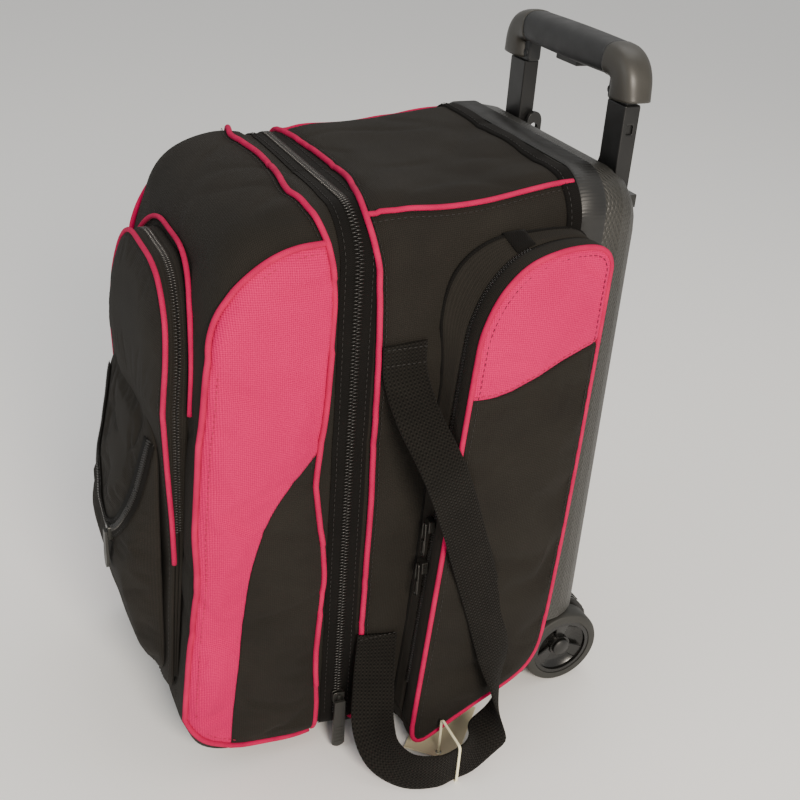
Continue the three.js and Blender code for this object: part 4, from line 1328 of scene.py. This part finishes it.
def wire_pull(name, sign, z):
    """A bent wire loop with a small block where it meets the slider."""
    y = 7 + (z - 34) * 26 / 362 - 9
    shape = [(-2.2, 1.8), (0, 2.4), (2.2, 1.8), (2.7, -4), (2.9, -14), (3, -25), (1.9, -29), (0, -30),
             (-1.9, -29), (-3, -25), (-2.9, -14), (-2.7, -4)]
    loop = resample([(150 + u, y, z + v) for u, v in shape], 1.2, True)[:-1]
    ups = facing(loop, (0, -1, 0))
    wire = sweep(f"pull_wire_{name}", mirrored(loop, sign), ups, circle(0.75, 8), M["slider"], True)
    grip = block(f"pull_grip_{name}", (147.6, y - 1.0, z - 27.5), (152.4, y + 1.0, z - 14), 0.8, M["slider"])
    to_side(grip, sign)
    body = body_of(NODES[f"pocket_pull_{name}"])[0]
    for piece in (wire, grip):
        attach(piece, body, "slider")
    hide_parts(f"pocket_pull_{name}")


def make_hardware():
    for side, sign in SIDES:
        slider_body(f"main_zip_slider_{side}", f"main_slider_{side}", (sign * 135.5, -52, 57), (0, 0, 1),
                    (sign, 0, 0), (14, 11, 6))
        polish(f"main_pull_{side}", M["rubber"], 0.9)
        for name in ("upper", "lower"):
            polish(f"pocket_slider_{name}_{side}", M["slider"], 1.0)
            wire_pull(f"{name}_{side}", sign, 240 if name == "upper" else 198)
        for k in range(5):
            z = 8 + k * 4.2
            groove = block(f"pull_rib_{k}_{side}", (141.3, -56, z), (142.3, -48, z + 1.6), 0.4, M["rubber"])
            to_side(groove, sign)
            attach(groove, body_of(NODES[f"main_pull_{side}"])[0], "pull")
    for node, material, bevel in (
            ("front_pocket_slider", "slider", 1.0), ("front_pocket_pull", "rubber", 0.8),
            ("pouch_slider", "slider", 1.2), ("pouch_pull", "rubber", 1.0)):
        polish(node, M[material], bevel)


# ---- wheels, handle and hard parts ----
WHEEL_CENTRE = (192, 40)  # depth and height of the axle
GRIP_Y, GRIP_Z, GRIP_HALF = 196, 607, 66


def make_wheels():
    for side, sign in SIDES:
        tread = [(31, 104), (36.4, 104), (38.6, 105), (39.8, 107.4), (40, 111), (40, 121), (39.8, 124.6),
                 (38.6, 127), (36.4, 128), (31, 128)]
        tyre = lathe(f"tyre_{side}", [(r, x * sign) for r, x in tread], WHEEL_CENTRE, M["tyre"],
                     f"wheel_{side}", 96)
        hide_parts(f"wheel_tyre_{side}")
        polish(f"wheel_hub_{side}", M["hub"], 1.1, 3, 40)
        polish(f"wheel_axle_{side}", M["plastic"], 0.6, 2)
        polish(f"wheel_housing_{side}", M["plastic"], 1.2)
        dish = [(30.6, 126.6), (28.6, 126.9), (27.6, 124), (22, 119.2), (15, 117.4), (9.6, 117.8),
                (9.6, 116.6), (15, 115.8), (22.4, 117.6), (28.2, 122.4), (30.6, 124.6)]
        cover = lathe(f"hub_dish_{side}", [(r, x * sign) for r, x in dish], WHEEL_CENTRE, M["hub"],
                      f"wheel_{side}", 96)
        for k in range(3):
            a = math.radians(90 + 120 * k)
            spoke = make_spoke(f"hub_spoke_{k}_{side}", a, sign)
            attach(spoke, f"wheel_{side}", "hub")
        for k in range(6):
            a = math.radians(20 + 26 * k)
            rib = drum_rib(f"housing_rib_{k}_{side}", a, sign)
            attach(rib, "root", "plastic")


def make_spoke(name, angle, sign):
    out, turn = (math.cos(angle), math.sin(angle)), (-math.sin(angle), math.cos(angle))
    shape = [(8.8, -4.6), (28, -7.6), (28, 7.6), (8.8, 4.6)]

    def place(u, v, w):
        return (sign * (118.4 + 3.4 * (u - 8.8) / 20 + w), WHEEL_CENTRE[0] + out[0] * u + turn[0] * v,
                WHEEL_CENTRE[1] + out[1] * u + turn[1] * v)
    return plate(name, shape, 3.2, 1.3, M["hub"], place, 4)


def drum_rib(name, angle, sign):
    y, z = 192 + 42.2 * math.cos(angle), 42.5 + 42.2 * math.sin(angle)
    ny, nz = math.cos(angle), math.sin(angle)

    def place(u, v, w):
        return (sign * u, y + ny * w - nz * v, z + nz * w + ny * v)
    return plate(name, [(65, -1), (100, -1), (100, 1), (65, 1)], 1.0, 0.4, M["plastic"], place, 2)


def grip_piece(name, path, sizes, material, node):
    """Part of the grip: rounded rings along a path in the XZ plane, each with its own half depth and
    half height."""
    turn = np.linspace(0, 2 * math.pi, 40)
    along = tangents(path)
    up = np.stack([-along[:, 2], np.zeros(len(path)), along[:, 0]], axis=1)
    c, s = np.cos(turn), np.sin(turn)
    c, s = np.sign(c) * np.abs(c) ** 0.72, np.sign(s) * np.abs(s) ** 0.72
    rings = path[:, None] + np.array([0, 1.0, 0])[None, None] * (sizes[:, :1] * c[None])[..., None] \
        + up[:, None] * (sizes[:, 1:] * s[None])[..., None]
    caps = [path[0] + (rings[0] - path[0]) * k for k in (0.02, 0.8)]
    ends = [path[-1] + (rings[-1] - path[-1]) * k for k in (0.8, 0.02)]
    piece = grid_object(name, np.concatenate([caps, rings, ends]), material)
    weld(piece)
    attach(piece, "handle_top", "grip", node)
    return piece


def make_grip():
    bar = even([(-GRIP_HALF, GRIP_Y, GRIP_Z), (GRIP_HALF, GRIP_Y, GRIP_Z)], 4)
    swell = 1 + 0.05 * np.cos(bar[:, :1] / GRIP_HALF * math.pi / 2)
    grip_piece("grip_cover", bar, np.hstack([15.8 * swell, 13.6 * swell]), M["grip"], "grip_bar")
    for side, sign in SIDES:
        bend = resample([(x, GRIP_Y, z) for x, z in
                         ((GRIP_HALF, GRIP_Z), (76, 606), (84, 601.5), (88.5, 593), (89.5, 579))], 2)
        share = np.linspace(0, 1, len(bend))[:, None]
        sizes = np.hstack([16.2 - 1.6 * share, 14 + 3.5 * share ** 2])
        grip_piece(f"grip_elbow_{side}", mirrored(bend, sign), sizes, M["elbow"], f"grip_end_{side}")
        lug = block(f"grip_lug_{side}", (66, 189, 575), (76, 203, 596), 3, M["grip"], None, 4)
        dimple = lathe_y(f"grip_dimple_{side}", (70.5, 183.8, 583), 3.4)
        for piece in (lug, dimple):
            to_side(piece, sign)
            attach(piece, "handle_top", "grip")


def lathe_y(name, centre, radius):
    """A shallow round boss facing forward."""
    rings = []
    for r, y in ((radius, 5.4), (radius, 4.6), (radius * 0.75, 4.2), (radius * 0.6, 5.0), (0.05, 5.2)):
        a = np.linspace(0, 2 * math.pi, 25)
        rings.append(np.stack([centre[0] + r * np.cos(a), np.full(25, centre[1] + y),
                               centre[2] + r * np.sin(a)], axis=1))
    piece = grid_object(name, np.stack(rings), M["grip"])
    weld(piece)
    return piece


def make_handle():
    make_grip()
    polish("release_button", M["plastic"], 1.6)
    for side, _ in SIDES:
        for stage in ("top", "mid", "outer"):
            polish(f"{stage}_tube_{side}", M["tube"], 1.4, 3)
        polish(f"collar_{side}", M["hub"], 1.3)
        polish(f"foot_{side}", M["rubber"], 1.0)
    polish("base_tray", M["plastic"], 2)
    polish("bottom_hinge_strip", M["fabric"], 0.6)


def make_inside():
    for node in ("ball_cup_lower", "ball_cup_upper", "ball_divider"):
        polish(node, M["foam"], 2.5, 3)


def make_tag():
    polish("hang_tag", M["card"], 0.3, 1)
    polish("tag_tie", M["tie"], 0.4, 2)
    bar = sweep("tie_bar", np.array([(215.2, 33.0, 9.5), (215.2, 33.0, 20.5)]),
                np.tile([1.0, 0.0, 0.0], (2, 1)), circle(1.1, 8), M["tie"])
    attach(bar, "root", "tie")


M = make_materials()
make_camera()
make_studio()
make_base()
make_side_panels()
make_band()
make_rear_seams()
make_shell()
make_side_pockets()
make_front_door()
make_pouch()
make_straps()
make_hardware()
make_wheels()
make_handle()
make_inside()
make_tag()
